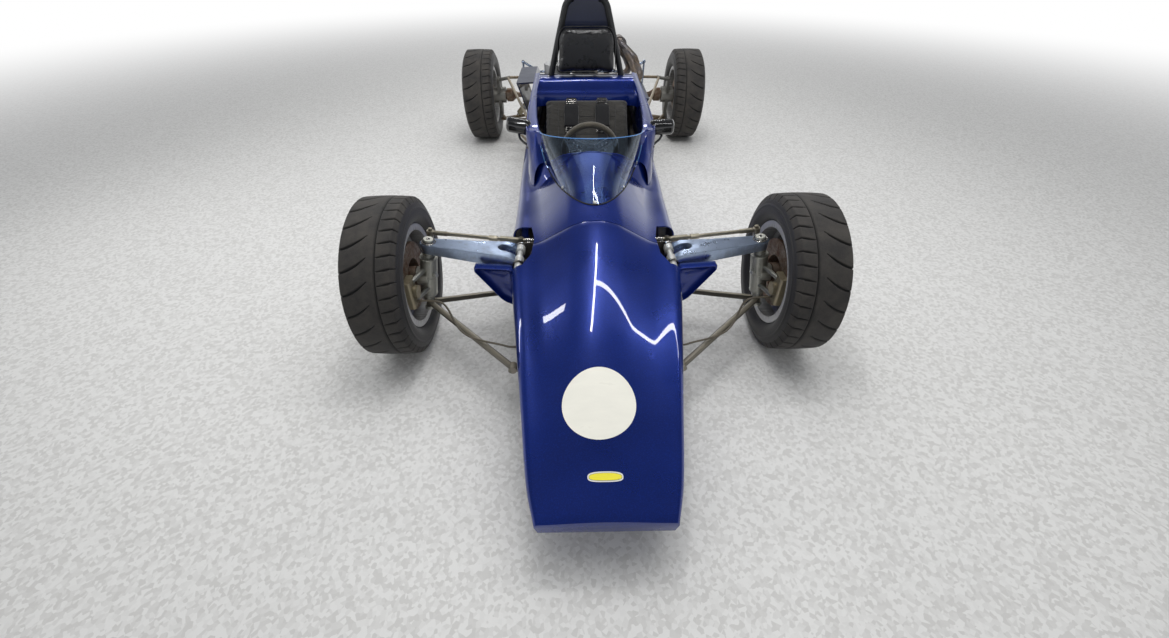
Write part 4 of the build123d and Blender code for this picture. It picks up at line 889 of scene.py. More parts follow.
def rocker_cutters():
    outline = [(0.330, -0.122), (0.240, -0.118), (0.212, -0.070), (0.206, 0.010), (0.222, 0.104),
               (0.330, 0.128)]
    return [prism("cutter", [(side * x, y + AXLE_Y) for x, y in outline][::side], 0.338, 0.7)
            for _, side in SIDES]


def wishbone_cutters():
    """Slots for the front wishbones' two arms on each side."""
    return [box_cutter((side * 0.285 - 0.06, y - 0.026 + AXLE_Y, 0.08),
                       (side * 0.285 + 0.06, y + 0.026 + AXLE_Y, 0.18))
            for y in (-0.330, 0.095) for _, side in SIDES]


def inner_x(y):
    """Half width of the cockpit's opening."""
    return float(np.interp(y, (0.466, 0.50, 0.60, 0.735, 0.95, 1.10, 1.372, 1.44, 1.50),
                           (0.186, 0.198, 0.212, 0.226, 0.240, 0.247, 0.250, 0.285, 0.300)))


def opening_outline():
    """Outline of the cockpit's opening: nearly straight across the scuttle, wider towards the seat."""
    right = list(ARCH_LINE) + [(inner_x(y) + 0.002, y) for y in stations(0.470, 1.345, 0.035)]
    right += [(0.225, 1.395), (0.190, 1.405)]
    return [(x, y + AXLE_Y) for x, y in right[::-1] + [(-x, y) for x, y in right[1:]]]


ARCH_LINE = ((0.0, 0.424), (0.050, 0.429), (0.107, 0.439), (0.157, 0.452))
FOOT_LINE = ((0.0, 0.060), (0.030, 0.072), (0.064, 0.115), (0.092, 0.175), (0.115, 0.242), (0.138, 0.325),
             (0.157, 0.405), (0.186, 0.468))


class RACINGCAR_OT_bodywork(bpy.types.Operator):
    """Nose shell, scuttle and cockpit sides"""

    bl_idname = "racingcar.bodywork"
    bl_label = "Bodywork"

    def execute(self, context):
        nose = self.shell("nose_shell", NOSE_ROWS, (-0.865, SEAM_Y - SEAM_GAP / 2), (-0.861, SEAM_Y + 0.02),
                          rocker_cutters() + wishbone_cutters())
        crease(nose.data, 38.0)
        bevelled(nose, 0.0006, 2, 50.0)
        settle(nose, "chassis", "nose_cone", slot="body_paint")
        scuttle = self.shell("scuttle", NOSE_ROWS, (SEAM_Y + SEAM_GAP / 2, DASH_Y),
                             (SEAM_Y - 0.01, DASH_Y + 0.004),
                             self.openings() + rocker_cutters() + wishbone_cutters())
        sides = self.shell("sides", COCKPIT_ROWS, (DASH_Y, BODY_END), (DASH_Y - 0.004, BODY_END + 0.004),
                           self.openings())
        settle(joined("cockpit_shell", [scuttle, sides], 38.0), "chassis", "cockpit_body", slot="body_paint")
        return {"FINISHED"}

    def shell(self, name, rows, outer, inner, cutters):
        """The skin between two stations, hollowed from the inner stations and cut open."""
        hull = skin(name, smooth_rows(rows, stations(*outer, 0.02)))
        hollow = skin("cutter", smooth_rows(rows, stations(*inner, 0.03)), WALL)
        return cut(hull, [hollow] + cutters)

    def openings(self):
        end = BODY_END + 0.01 + AXLE_Y
        return [box_cutter((-0.5, DASH_Y + 0.001 + AXLE_Y, RIM_TOP), (0.5, end, 1.2)),
                prism("cutter", opening_outline(), 0.400, 0.900),
                box_cutter((-0.262, SEAM_Y - 0.01 + AXLE_Y, FLOOR - 0.001),
                           (0.262, end, FLOOR + WALL + 0.0005))]


class RACINGCAR_OT_nose_marks(bpy.types.Operator):
    """Plain white disc and plain oval badge, laid on the nose"""

    bl_idname = "racingcar.nose_marks"
    bl_label = "Nose marks"

    def execute(self, context):
        badge = (0.000, -0.771)
        for name, centre, half_x, half_y, lift, finish, square in (
            ("race_disc", (-0.010, -0.6035), 0.0965, 0.0868, 0.0006, "white_vinyl", 1.0),
            ("badge_rim", badge, 0.0435, 0.0112, 0.0012, "badge_rim", 0.66),
            ("badge_line", badge, 0.0405, 0.0084, 0.0016, "badge_line", 0.72),
            ("badge_plate", badge, 0.0396, 0.0076, 0.0020, "badge_enamel", 0.72),
        ):
            rings, steps = 10, 64
            vertices = [self.laid(*centre, lift)]
            for ring in range(1, rings + 1):
                for c, d in circle(1.0, steps):
                    x = centre[0] + half_x * ring / rings * math.copysign(abs(c) ** square, c)
                    y = centre[1] + half_y * ring / rings * math.copysign(abs(d) ** square, d)
                    vertices.append(self.laid(x, y, lift))
            faces = [(0, 1 + i, 1 + (i + 1) % steps) for i in range(steps)]
            for a in range(1, 1 + (rings - 1) * steps, steps):
                b = a + steps
                faces += [(a + i, b + i, b + (i + 1) % steps, a + (i + 1) % steps) for i in range(steps)]
            piece = outwards(thickened(mesh_object(name, vertices, faces, finish), lift + 0.0004))
            crease(piece.data, 40.0)
            settle(piece, "chassis", slot="body_paint")
        return {"FINISHED"}

    def laid(self, x, y, lift):
        return at_axle(x, y, body_height(x, y)) + body_normal(x, y) * lift


# ---------------------------------------------------------------- tyres


def lens(value, width):
    """1 inside a band of the given half width, 0 outside, with a soft edge."""
    edge = 0.0011
    return np.clip((width + edge - np.abs(value)) / (2 * edge), 0.0, 1.0)


def groove_lean(across, width):
    """How far round the tyre the grooves lean at a distance across it, in metres."""
    t = np.clip((across / width + 0.02) / 0.52, 0.0, 1.0)
    inner = np.clip((-0.16 - across / width) / 0.30, 0.0, 1.0)
    return 0.047 * (1 - (1 - t) ** 1.9) - 0.012 * inner


def groove_mask(along, across, radius, width):
    """Depth share of the tread's grooves, by the way round the tyre and across it from inboard."""
    s = settings()
    mask = lens(across + 0.16 * width, 0.0024)
    # sickle grooves from the outer shoulder towards the middle, then slits on the inner shoulder
    for count, start, end, widest in ((s.sickle_count, -0.02, 0.49, 0.0042),
                                      (s.slit_count, -0.465, -0.195, 0.0029)):
        pitch = 2 * math.pi * radius / count
        t = np.clip((across / width - start) / (end - start), 0.0, 1.0)
        phase = (along + pitch / 2) % pitch - pitch / 2
        taper = widest * np.sin(np.pi * (0.04 + 0.92 * t)) ** 0.8
        mask = np.maximum(mask, lens(phase, taper) * (t > 0.0) * (t < 1.0))
    return mask


def arc_through(a, b, c, n):
    """Points on the arc through three points, without the last."""
    (ax, ay), (bx, by), (cx, cy) = a, b, c
    d = 2 * (ax * (by - cy) + bx * (cy - ay) + cx * (ay - by))
    aa, bb, cc = ax ** 2 + ay ** 2, bx ** 2 + by ** 2, cx ** 2 + cy ** 2
    ux = (aa * (by - cy) + bb * (cy - ay) + cc * (ay - by)) / d
    uy = (aa * (cx - bx) + bb * (ax - cx) + cc * (bx - ax)) / d
    radius = math.hypot(ax - ux, ay - uy)
    t0, t1, t2 = (math.atan2(y - uy, x - ux) for x, y in (a, b, c))
    total = sum((step + math.pi) % (2 * math.pi) - math.pi for step in (t1 - t0, t2 - t1))
    return [(ux + radius * math.cos(t0 + total * i / n), uy + radius * math.sin(t0 + total * i / n))
            for i in range(n)]


def tyre_profile(diameter, width, rim_width):
    """Outer profile from bead to bead as (x, radius), and the inner one back."""
    r, half = diameter / 2, width / 2
    seat, tread = 0.1651, width * 0.40
    bead = rim_width / 2 - 0.0003
    wide, heel = seat + 0.46 * (r - seat), seat + 0.020
    right = arc_through((0.0, r), (tread / 2, r - 0.00075), (tread, r - 0.003), 22)
    right += arc_through((tread, r - 0.003), (half - 0.007, r - 0.024), (half, wide), 26)
    right += arc_through((half, wide), (half - 0.003, (wide + heel) / 2), (bead + 0.006, heel), 12)
    right += [(bead + 0.006, heel), (bead, heel - 0.002), (bead, seat + 0.0002)]
    inner = [(bead - 0.010, seat + 0.0002), (bead - 0.010, heel - 0.004), (half - 0.012, wide),
             (tread - 0.002, r - 0.013)]
    outer = [(-x, radius) for x, radius in reversed(right[1:])] + right
    return outer, inner + [(-x, radius) for x, radius in reversed(inner)]


class RACINGCAR_OT_tyres(bpy.types.Operator):
    """Four tyres with sickle grooves outside, one groove round the middle and slits on the inner shoulder"""

    bl_idname = "racingcar.tyres"
    bl_label = "Tyres"

    def execute(self, context):
        for axle, diameter, width, rim_width, centre in (
            ("front", 0.552, 0.187, 0.140, FRONT_HUB),
            ("rear", 0.576, 0.203, 0.152, REAR_HUB),
        ):
            left = self.tyre(f"{axle}_tyre_tread_left", diameter, width, rim_width)
            moved(left, Matrix.Translation(at_axle(*centre)))
            right = twin(left, f"{axle}_tyre_tread_right")
            for side, piece in (("left", left), ("right", right)):
                settle(piece, f"{axle}_wheel_{side}", f"{axle}_tyre_{side}", slot="tyre")
        return {"FINISHED"}

    def tyre(self, name, diameter, width, rim_width):
        outer, inner = tyre_profile(diameter, width, rim_width)
        steps = 720
        loop = np.array(outer + inner)
        outside = np.arange(len(loop)) < len(outer)
        tangent = np.roll(loop, -1, axis=0) - np.roll(loop, 1, axis=0)
        tangent /= np.maximum(np.linalg.norm(tangent, axis=1), 1e-9)[:, None]
        angles = np.linspace(0, 2 * np.pi, steps, endpoint=False)[:, None]
        radius = diameter / 2
        across = np.tile(loop[:, 0], (steps, 1))
        mask = groove_mask(angles * radius, across, radius, width) * (outside & (loop[:, 1] > radius - 0.030))
        ridge = outside & (np.abs(loop[:, 1] - (radius - 0.042)) < 0.0035)
        depth = mask * settings().tread_depth - ridge * 0.0016
        x = loop[:, 0] + depth * tangent[:, 1]
        r = loop[:, 1] - depth * tangent[:, 0]
        turn = angles - groove_lean(across, width) / radius
        rings = np.stack([x, r * np.sin(turn), r * np.cos(turn)], axis=2)
        piece = loft(name, rings, "tyre_rubber", 60.0, looped=True)
        # The groove mask is also kept on the points; the tyre's shader paints the grooves' shade from it.
        for label, values in (("groove", mask), ("tread", np.tile(loop[:, 1] > radius - 0.022, (steps, 1)))):
            layer = piece.data.attributes.new(label, "FLOAT", "POINT")
            layer.data.foreach_set("value", values.astype(float).ravel())
        outwards(piece, merge=False)
        crease(piece.data, 60.0)
        return piece


# ---------------------------------------------------------------- cockpit


def puffed(obj, voxel, limit, pressure=4.0):
    """Swells a closed pad as stuffed cloth does, no point further than the limit."""
    finish = obj.data.materials[0]
    remesh = obj.modifiers.new("Remesh", "REMESH")
    remesh.mode, remesh.voxel_size = "VOXEL", voxel * 1.0
    baked(obj)
    start = np.array([v.co for v in obj.data.vertices])
    cloth = obj.modifiers.new("Cloth", "CLOTH")
    cloth.settings.use_pressure = True
    cloth.settings.uniform_pressure_force = pressure
    cloth.settings.effector_weights.gravity = 0.0
    for number in range(1, 21):
        bpy.context.scene.frame_set(number)
    baked(obj)
    bpy.context.scene.frame_set(1)
    end = np.array([v.co for v in obj.data.vertices])
    way = end - start
    far = np.linalg.norm(way, axis=1, keepdims=True)
    end = start + way * np.minimum(1.0, limit / np.maximum(far, 1e-9))
    obj.data.vertices.foreach_set("co", end.ravel())
    smooth = obj.modifiers.new("Smooth", "SMOOTH")
    smooth.iterations = 3
    soft = obj.modifiers.new("Subdivision", "SUBSURF")
    soft.levels = soft.render_levels = 1
    baked(obj)
    obj.data.materials.clear()
    obj.data.materials.append(finish)
    crease(obj.data, 75.0)
    return obj


def surface_of(obj):
    return BVHTree.FromObject(obj, bpy.context.evaluated_depsgraph_get())


def laid_on(tree, points, way, lift=0.001):
    """Points moved along a direction until they lie on a surface, each with the surface's normal."""
    way = Vector(way).normalized()
    out = []
    for p in points:
        hit, normal, _, _ = tree.ray_cast(Vector(p) - way * 0.35, way)
        if hit is not None:
            out.append((hit + normal * lift, normal))
    return out


def across_and_up(along_it, normal):
    """Unit directions across a strap and up from it."""
    across = along_it.cross(normal).normalized()
    return across, across.cross(along_it).normalized()


def strap(name, places, width, thickness, finish):
    """Flat strap through (point, normal) pairs."""
    rings = []
    for i, (point, normal) in enumerate(places):
        before, after = places[max(i - 1, 0)][0], places[min(i + 1, len(places) - 1)][0]
        across, up = across_and_up((after - before).normalized(), normal)
        rings.append([point + across * (a * width / 2) + up * (b * thickness)
                      for a, b in ((-1, 0), (-0.94, 1), (0.94, 1), (1, 0))])
    return outwards(loft(name, rings, finish, 50.0))


def eased(points, count):
    """Evenly spaced points on a smooth curve through the given ones."""
    pts = [Vector(p) for p in points]
    pts = [2 * pts[0] - pts[1]] + pts + [2 * pts[-1] - pts[-2]]
    fine = []
    for i in range(1, len(pts) - 2):
        p0, p1, p2, p3 = pts[i - 1:i + 3]
        for k in range(12):
            t = k / 12
            fine.append(0.5 * (2 * p1 + (p2 - p0) * t + (2 * p0 - 5 * p1 + 4 * p2 - p3) * t ** 2
                               + (3 * p1 - p0 - 3 * p2 + p3) * t ** 3))
    fine.append(pts[-2])
    reach = [0.0]
    for a, b in zip(fine, fine[1:]):
        reach.append(reach[-1] + (b - a).length)
    grid = np.linspace(0.0, reach[-1], count)
    array = np.array([tuple(p) for p in fine])
    return [Vector([float(np.interp(g, reach, array[:, k])) for k in range(3)]) for g in grid]


SEAT_LINE = ((0.668, 0.118), (0.760, 0.113), (0.880, 0.112), (0.945, 0.140), (1.010, 0.206), (1.120, 0.322),
             (1.230, 0.438), (1.300, 0.506), (1.328, 0.520))
BACK_WAY, DOWN = Vector((0.0, 0.72, -0.69)), Vector((0.0, 0.0, -1.0))


class RACINGCAR_OT_seat(bpy.types.Operator):
    """Cloth covered seat with sewn channels, and the harness that lies on it"""

    bl_idname = "racingcar.seat"
    bl_label = "Seat"

    def execute(self, context):
        line = eased([(0.0, y, z) for y, z in SEAT_LINE], 44)
        last = len(line) - 1
        columns = [-1.0, -0.96, -0.88, -0.78, -0.66, -0.5, -0.3, -0.1]
        columns += [-c for c in reversed(columns)]
        top, low = [], []
        for i, p in enumerate(line):
            t = i / last
            tangent = (line[min(i + 1, last)] - line[max(i - 1, 0)]).normalized()
            normal = Vector((0.0, -tangent.z, tangent.y))
            half = 0.210 + 0.014 * t
            for c in columns:
                side = max(0.0, abs(c) - 0.62) / 0.38
                raised = 0.060 * side ** 2 * math.sin(math.pi * min(1.0, 0.12 + t * 0.92)) ** 0.7
                edge = 0.014 * max(0.0, abs(c) - 0.88) / 0.12
                top.append(at_axle(c * half, p.y, p.z) + normal * (raised - edge - 0.010))
                low.append(at_axle(c * (half - 0.006), p.y, p.z) - normal * 0.034)
        seat = puffed(slab("seat", top, low, len(columns), "seat_cloth"), 0.006, 0.006, 3.0)
        settle(seat, "chassis", "seat_pad", slot="seat_cloth")
        tree = surface_of(seat)
        seams = []
        for t in (0.14, 0.30, 0.46, 0.62, 0.76, 0.88):
            spot = line[int(t * last)]
            points = [at_axle(x, spot.y, spot.z) for x in np.linspace(-0.150, 0.150, 26)]
            seams.append(laid_on(tree, points, BACK_WAY if t > 0.4 else DOWN, 0.0002))
        for x in (-0.152, 0.152):
            points = [at_axle(x, q.y, q.z) for q in line[4:-2]]
            flat, steep = points[:14], points[14:]
            seams.append(laid_on(tree, flat, DOWN, 0.0002) + laid_on(tree, steep, BACK_WAY, 0.0002))
        # The seams are near-black cords: sewn seam lines, whose darkness is painted shade of the channels'
        # grooves.
        cords = [tube_along("seam", [p for p, _ in seam], 0.0016, "belt_webbing", 6, 4) for seam in seams]
        settle(joined("seat_seams", cords, 60.0), "chassis", slot="seat_cloth")
        belts(tree, line)
        return {"FINISHED"}


def belts(tree, line):
    """Shoulder, lap and lower straps with their pads, slides and buckle."""
    straps, metal, pads = [], [], []
    for _, side in SIDES:
        points = [at_axle(side * 0.016, 0.975, 0.172)]
        points += [at_axle(side * (0.030 + 0.052 * min(1.0, i / 12)), q.y, q.z)
                   for i, q in enumerate(line[19:])]
        places = laid_on(tree, points, BACK_WAY, 0.0032)
        end = places[-1][0]
        places += [(end + Vector((0.0, 0.014, 0.006)), Vector((0, 0.2, 0.98))),
                   (end + Vector((0.0, 0.034, -0.012)), Vector((0, 0.7, 0.7)))]
        straps.append(strap("shoulder", places, 0.050, 0.0022, "belt_webbing"))
        raised = [(p + n * 0.002, n) for p, n in places[-11:-4]]
        pads.append(strap("pad", raised, 0.078, 0.012, "belt_webbing"))
        for index, lift in ((-4, 0.008), (-12, 0.007), (9, 0.005)):
            p, n = places[index]
            way = places[index + 1][0] - places[index - 1][0]
            metal.append(belt_slide(p + n * lift, n, way, 0.058, 0.026))
        lap = [at_axle(side * x, y, z) for x, y, z in (
            (0.205, 1.020, 0.300), (0.180, 1.000, 0.260), (0.120, 0.970, 0.200), (0.060, 0.955, 0.180),
            (0.012, 0.950, 0.170))]
        places = laid_on(tree, eased(lap, 16), (0.0, 0.3, -0.95), 0.003)
        if len(places) > 3:
            straps.append(strap("lap", places, 0.048, 0.0022, "belt_webbing"))
            p, n = places[len(places) // 2]
            metal.append(belt_slide(p + n * 0.004, n, places[-1][0] - places[0][0], 0.056, 0.024))
    low = laid_on(tree, eased([at_axle(0, 0.700, 0.2), at_axle(0, 0.950, 0.2)], 10), DOWN, 0.003)
    straps.append(strap("lower_strap", low, 0.042, 0.0022, "belt_webbing"))
    point, up = laid_on(tree, [at_axle(0.0, 0.965, 0.152)], (0, 0.5, -0.86), 0.010)[0]
    for start, end, radius, finish in ((-0.009, 0.012, 0.032, "aluminium"),
                                       (0.012, 0.018, 0.021, "bright_steel")):
        metal.append(rod("buckle", point + up * start, point + up * end, radius, finish, 32))
    for name, parts, angle, slot in (("belt_straps", straps, 50.0, "seat_cloth"),
                                     ("belt_pads", pads, 40.0, "seat_cloth"),
                                     ("belt_fittings", metal, 35.0, "bright_steel")):
        piece = joined(name, parts, angle)
        if name == "belt_pads":
            bevelled(piece, 0.004, 3, 40.0)
        settle(piece, "chassis", slot=slot)


def belt_slide(point, normal, along_it, width, depth):
    """Small steel slide across a strap: a frame with a middle bar."""
    along_it = along_it.normalized()
    across, _ = across_and_up(along_it, normal)
    bars = [(point + along_it * (share * depth), across * width / 2) for share in (-0.5, 0.0, 0.5)]
    bars += [(point + across * (share * width), along_it * depth / 2) for share in (-0.5, 0.5)]
    return joined("slide", [rod("bar", middle - reach, middle + reach, 0.0022, "bright_steel", 10)
                            for middle, reach in bars])


def plate_rings(outline, centre, rings):
    """Outlines of (x, z) points drawn in to their centre by a share, each at its own y."""
    cx, cz = centre
    return [[at_axle(cx + (x - cx) * share, y, cz + (z - cz) * share) for x, z in outline]
            for share, y in rings]


class RACINGCAR_OT_headrest(bpy.types.Operator):
    """Padded headrest with a sewn edge"""

    bl_idname = "racingcar.headrest"
    bl_label = "Headrest"

    def execute(self, context):
        corners = [(-0.154, 0.624), (0.154, 0.624), (0.147, 0.786), (0.120, 0.834), (-0.120, 0.834),
                   (-0.147, 0.786)]
        outline, centre = rounded(corners, 0.024, 7), (0.0, 0.728)
        front, back = 1.393, 1.438
        rings = [(0.90, front), (0.97, front + 0.004), (1.0, front + 0.014), (1.0, back - 0.006),
                 (0.985, back)]
        pad = outwards(loft("headrest", plate_rings(outline, centre, rings), "headrest_cover"))
        puffed(pad, 0.005, 0.008, 4.0)
        settle(pad, "chassis", "headrest_pad", slot="headrest_cover")
        edge = plate_rings(outline, centre, [(1.012, front + 0.022)])[0]
        piping = closed_tube("headrest_piping", edge, 0.0026, "headrest_cover")
        settle(piping, "chassis", slot="headrest_cover")
        return {"FINISHED"}


def rounded(corners, radius, steps):
    """Outline with its corners rounded off."""
    out = []
    for i, c in enumerate(corners):
        a, b = Vector(corners[i - 1]), Vector(corners[(i + 1) % len(corners)])
        c = Vector(c)
        r = min(radius, 0.45 * (a - c).length, 0.45 * (b - c).length)
        p, q = c + (a - c).normalized() * r, c + (b - c).normalized() * r
        for k in range(steps + 1):
            t = k / steps
            point = p * (1 - t) ** 2 + c * 2 * t * (1 - t) + q * t ** 2
            out.append((point.x, point.y))
    return out


def closed_tube(name, loop, radius, finish, sides=10):
    """Round bead round a closed loop of points."""
    rings = []
    for i, p in enumerate(loop):
        t = (loop[(i + 1) % len(loop)] - loop[i - 1]).normalized()
        side = t.cross(Vector((0.0, 0.0, 1.0)))
        if side.length < 1e-3:
            side = t.cross(Vector((0.0, 1.0, 0.0)))
        side.normalize()
        up = side.cross(t)
        rings.append([p + (side * c + up * s) * radius for c, s in circle(1.0, sides)])
    return outwards(loft(name, rings, finish, 80.0, looped=True))


class RACINGCAR_OT_steering(bpy.types.Operator):
    """Steering wheel with drilled spokes, hub bolts and the column"""

    bl_idname = "racingcar.steering"
    bl_label = "Steering wheel"

    def execute(self, context):
        axis = (STEERING_CENTRE - PINION).normalized()
        turn = Vector((0, 0, 1)).rotation_difference(axis).to_matrix().to_4x4()
        rim, bead = ([Vector((s, -c, 0.0)) for c, s in circle(radius, 96)] for radius in (0.112, 0.0992))
        parts = [closed_tube("rim", rim, 0.0128, "wheel_suede", 18),
                 closed_tube("stitch", bead, 0.0012, "belt_webbing", 6)]
        for degrees in (90, 210, 330):
            outline = [(0.022, -0.015), (0.100, -0.011), (0.100, 0.011), (0.022, 0.015)]
            spoke = prism("spoke", outline, -0.010, -0.006, "aluminium")
            cut(spoke, [prism("cutter", [(x + c, s) for c, s in circle(radius, 20)], -0.02, 0.0)
                        for x, radius in ((0.042, 0.0062), (0.061, 0.0054), (0.079, 0.0046))])
            parts.append(moved(spoke, Matrix.Rotation(math.radians(degrees), 4, "Z")))
        parts += [rod("hub", (0, 0, -0.026), (0, 0, -0.002), 0.033, "black_plastic", 40),
                  rod("cap", (0, 0, -0.003), (0, 0, 0.002), 0.015, "aluminium", 32),
                  screws("hub_bolts", [((x, y, -0.002), (0, 0, 1)) for x, y in circle(0.025, 6)],
                         "bright_steel", 0.0032, 0.002, 8)]
        wheel = moved(joined("steering_wheel", parts), Matrix.Translation(at_axle(*STEERING_CENTRE)) @ turn)
        foot, head = PINION + axis * 0.0196, STEERING_CENTRE - axis * 0.0262
        column = rod("column", at_axle(*foot), at_axle(*head), 0.0099, "bright_steel")
        whole = joined("steering_wheel_dressed", [wheel, column])
        settle(whole, "steering_wheel_turning", "steering_wheel", slot="wheel_suede")
        return {"FINISHED"}


class RACINGCAR_OT_cockpit_trim(bpy.types.Operator):
    """Rolled rim of the cockpit, seat back moulding, screen and gauges"""

    bl_idname = "racingcar.cockpit_trim"
    bl_label = "Cockpit trim"

    def execute(self, context):
        self.coaming()
        self.seat_back()
        self.screen()
        self.gauges()
        return {"FINISHED"}

    def coaming(self):
        """Rolled top of the cockpit's sides, from the skin in to the opening's lip."""
        rows, skin_top, low_end = [], 0.588, 0.56
        for y in stations(0.466, BODY_END - 0.004, 0.018):
            z = float(np.interp(y, (0.466, 0.49, 0.52, 0.55, 0.60), (0.494, 0.528, 0.566, 0.592, 0.600)))
            out, foot = rim_x(max(y, low_end), skin_top), skin_top
            lip = min(inner_x(y), out - 0.030)
            if y < low_end:
                out = float(np.interp(y, (0.466, low_end), (lip + 0.05, out)))
                foot = min(skin_top, body_height(out, y))
            row = []
            for t in np.linspace(0.0, math.pi / 2, 13):
                x = lip + 0.008 + (out - lip - 0.008) * math.cos(t)
                height = foot + (z + 0.004 - foot) * math.sin(t)
                if y < low_end:
                    height = max(height, min(body_height(x, y), RIM_TOP) + 0.0008)
                row.append((x + 0.0006, height))
            top = row[-1][1]
            row += [(lip + 0.008 - 0.008 * math.sin(t), top - 0.008 + 0.008 * math.cos(t))
                    for t in np.linspace(0.3, math.pi / 2, 5)] + [(lip + 0.001, top - 0.026)]
            rows.append([at_axle(x, y, height) for x, height in row])
        right = loft("coaming_right", rows, "body_paint", 60.0, closed=False)
        outwards(thickened(right, 0.0025, 1.0))
        arch = [(x, y, body_height(x, y)) for x, y in (*ARCH_LINE, (0.187, 0.466))]
        points = [at_axle(-x, y, z) for x, y, z in arch[:0:-1]] + [at_axle(*p) for p in arch]
        bead = tube_along("arch_edge", eased(points, 60), 0.0036, "body_paint", 12)
        whole = joined("coaming", [right, twin(right, "coaming_left"), bead], 60.0)
        settle(whole, "chassis", slot="body_paint")

    def seat_back(self):
        line = eased([(0, y, z) for y, z in (
            (1.479, 0.597), (1.440, 0.600), (1.404, 0.600), (1.384, 0.592), (1.372, 0.572), (1.362, 0.548),
            (1.352, 0.530), (1.346, 0.500), (1.344, 0.472))], 40)
        rows = []
        for p in line:
            half = rim_x(p.y, min(p.z, RIM_TOP - 0.002)) - 0.0062
            low = max(0.0, (RIM_TOP - p.z) / 0.13)
            row = []
            for c in np.linspace(-1, 1, 61):
                curl = max(0.0, (abs(c) * half - (half - 0.045)) / 0.045)
                lift = 0.030 * (1 - math.sqrt(max(0.0, 1 - curl ** 2)))
                height = min(p.z + lift * (1 - low) * 0.10, RIM_TOP)
                row.append(at_axle(c * half, p.y - lift * (0.35 + 0.65 * low), height))
            rows.append(row)
        panel = outwards(loft("seat_back_moulding", rows, "body_paint", 60.0, closed=False), merge=False)
        deck = at_axle(0, 1.42, RIM_TOP)
        if min(panel.data.polygons, key=lambda face: (face.center - deck).length).normal.z < 0:
            panel.data.flip_normals()
        thickened(panel, 0.004)
        crease(panel.data, 60.0)
        for _, side in SIDES:
            foot, shoulder = at_axle(side * 0.215, 1.462, 0.505), at_axle(side * 0.150, 1.462, 0.760)
            cut(panel, [rod("cutter", foot, shoulder, 0.0185, "body_paint", 32)])
        crease(panel.data, 50.0)
        settle(panel, "chassis", "seat_back_panel", slot="body_paint")
        spots = [(at_axle(x, 1.430, RIM_TOP + 0.0006), (0, 0, 1)) for x in (-0.205, 0.205)]
        heads = screws("deck_screws", spots, "zinc_plating", settings().screw_radius, 0.003)
        settle(heads, "chassis", slot="bright_steel")

    def screen(self):
        """Curved screen whose foot follows a wide bow on the scuttle, with its edge, bead and screws."""
        half = eased([(x, y, body_height(x, y) + 0.0012) for x, y in FOOT_LINE], 34)
        foot = [Vector((-p.x, p.y, p.z)) for p in half[:0:-1]] + half
        middle, rows = len(half) - 1, 13
        top = []
        for i, p in enumerate(foot):
            a = abs(i - middle) / middle * math.pi / 2
            x = math.copysign(0.205 * math.sin(a), p.x) if a else 0.0
            top.append(Vector((x, 0.345 + 0.190 * (1 - math.cos(a)), 0.634 - 0.034 * (1 - math.cos(a)))))
        rings = []
        for j in range(rows):
            v = j / (rows - 1)
            bulge = 0.006 * math.sin(math.pi * v)
            rings.append([at_axle(*(p.lerp(q, v) + Vector((bulge * p.x * 5.0, -bulge * 0.4, bulge))))
                          for p, q in zip(foot, top)])
        sheet = loft("screen_sheet", rings, "screen_acrylic", 80.0, closed=False)
        tree = surface_of(sheet)
        outwards(thickened(sheet, 0.003))
        crease(sheet.data, 60.0)
        settle(sheet, "chassis", "windscreen", slot="screen")
        edge = [ring[0] for ring in rings[:-1:3]] + rings[-1] + [ring[-1] for ring in rings[-4::-3]]
        line = tube_along("screen_edge", eased(edge, 150), 0.0018, "screen_edge")
        settle(line, "chassis", slot="screen")
        bead = tube_along("screen_bead", rings[0][2:-2], 0.0024, "black_rubber")
        settle(bead, "chassis", slot="black_plastic")
        spots = []
        for i, share in ((0, 0.035), (14, 0.06), (32, 0.06)):
            for side in (1, -1) if i else (1,):
                spot = half[i].lerp(top[middle + i], share)
                hit, normal, _, _ = tree.find_nearest(at_axle(side * spot.x, spot.y, spot.z))
                normal = normal if normal.z > 0 else -normal
                spots.append((hit + normal * 0.0004, normal))
        heads = screws("screen_screws", spots, "zinc_plating", 0.0066, 0.0032)
        settle(heads, "chassis", slot="bright_steel")

    def gauges(self):
        """Round instruments with rims and plain needles, no figures."""
        parts = []
        for cx, cz, r in ((0, 0.503, 0.037), (-0.092, 0.480, 0.026), (0.092, 0.480, 0.026)):

            def at(x, lift, z):
                return at_axle(cx + r * x, DASH_Y - 0.0018 + lift, cz + r * z)

            bezel = [at(c, 0.001, s) for c, s in circle(0.95, 48)]
            parts += [rod("face", at(0, 0, 0), at(0, 0.0012, 0), r * 0.9, "gauge_face", 40),
                      closed_tube("bezel", bezel, 0.0022, "black_gloss", 8)]
            for a in np.linspace(math.radians(-50), math.radians(230), 11):
                start, end = (at(share * math.cos(a), 0.0014, share * math.sin(a)) for share in (0.68, 0.8))
                parts.append(rod("tick", start, end, 0.0006, "gauge_white", 6))
            parts.append(rod("needle", at(0, 0.0022, 0), at(-0.6, 0.0022, -0.3), 0.0008, "badge_enamel", 6))
        settle(joined("gauges", parts), "chassis", slot="black_plastic")


# ---------------------------------------------------------------- mirrors, fairings and rocker arms


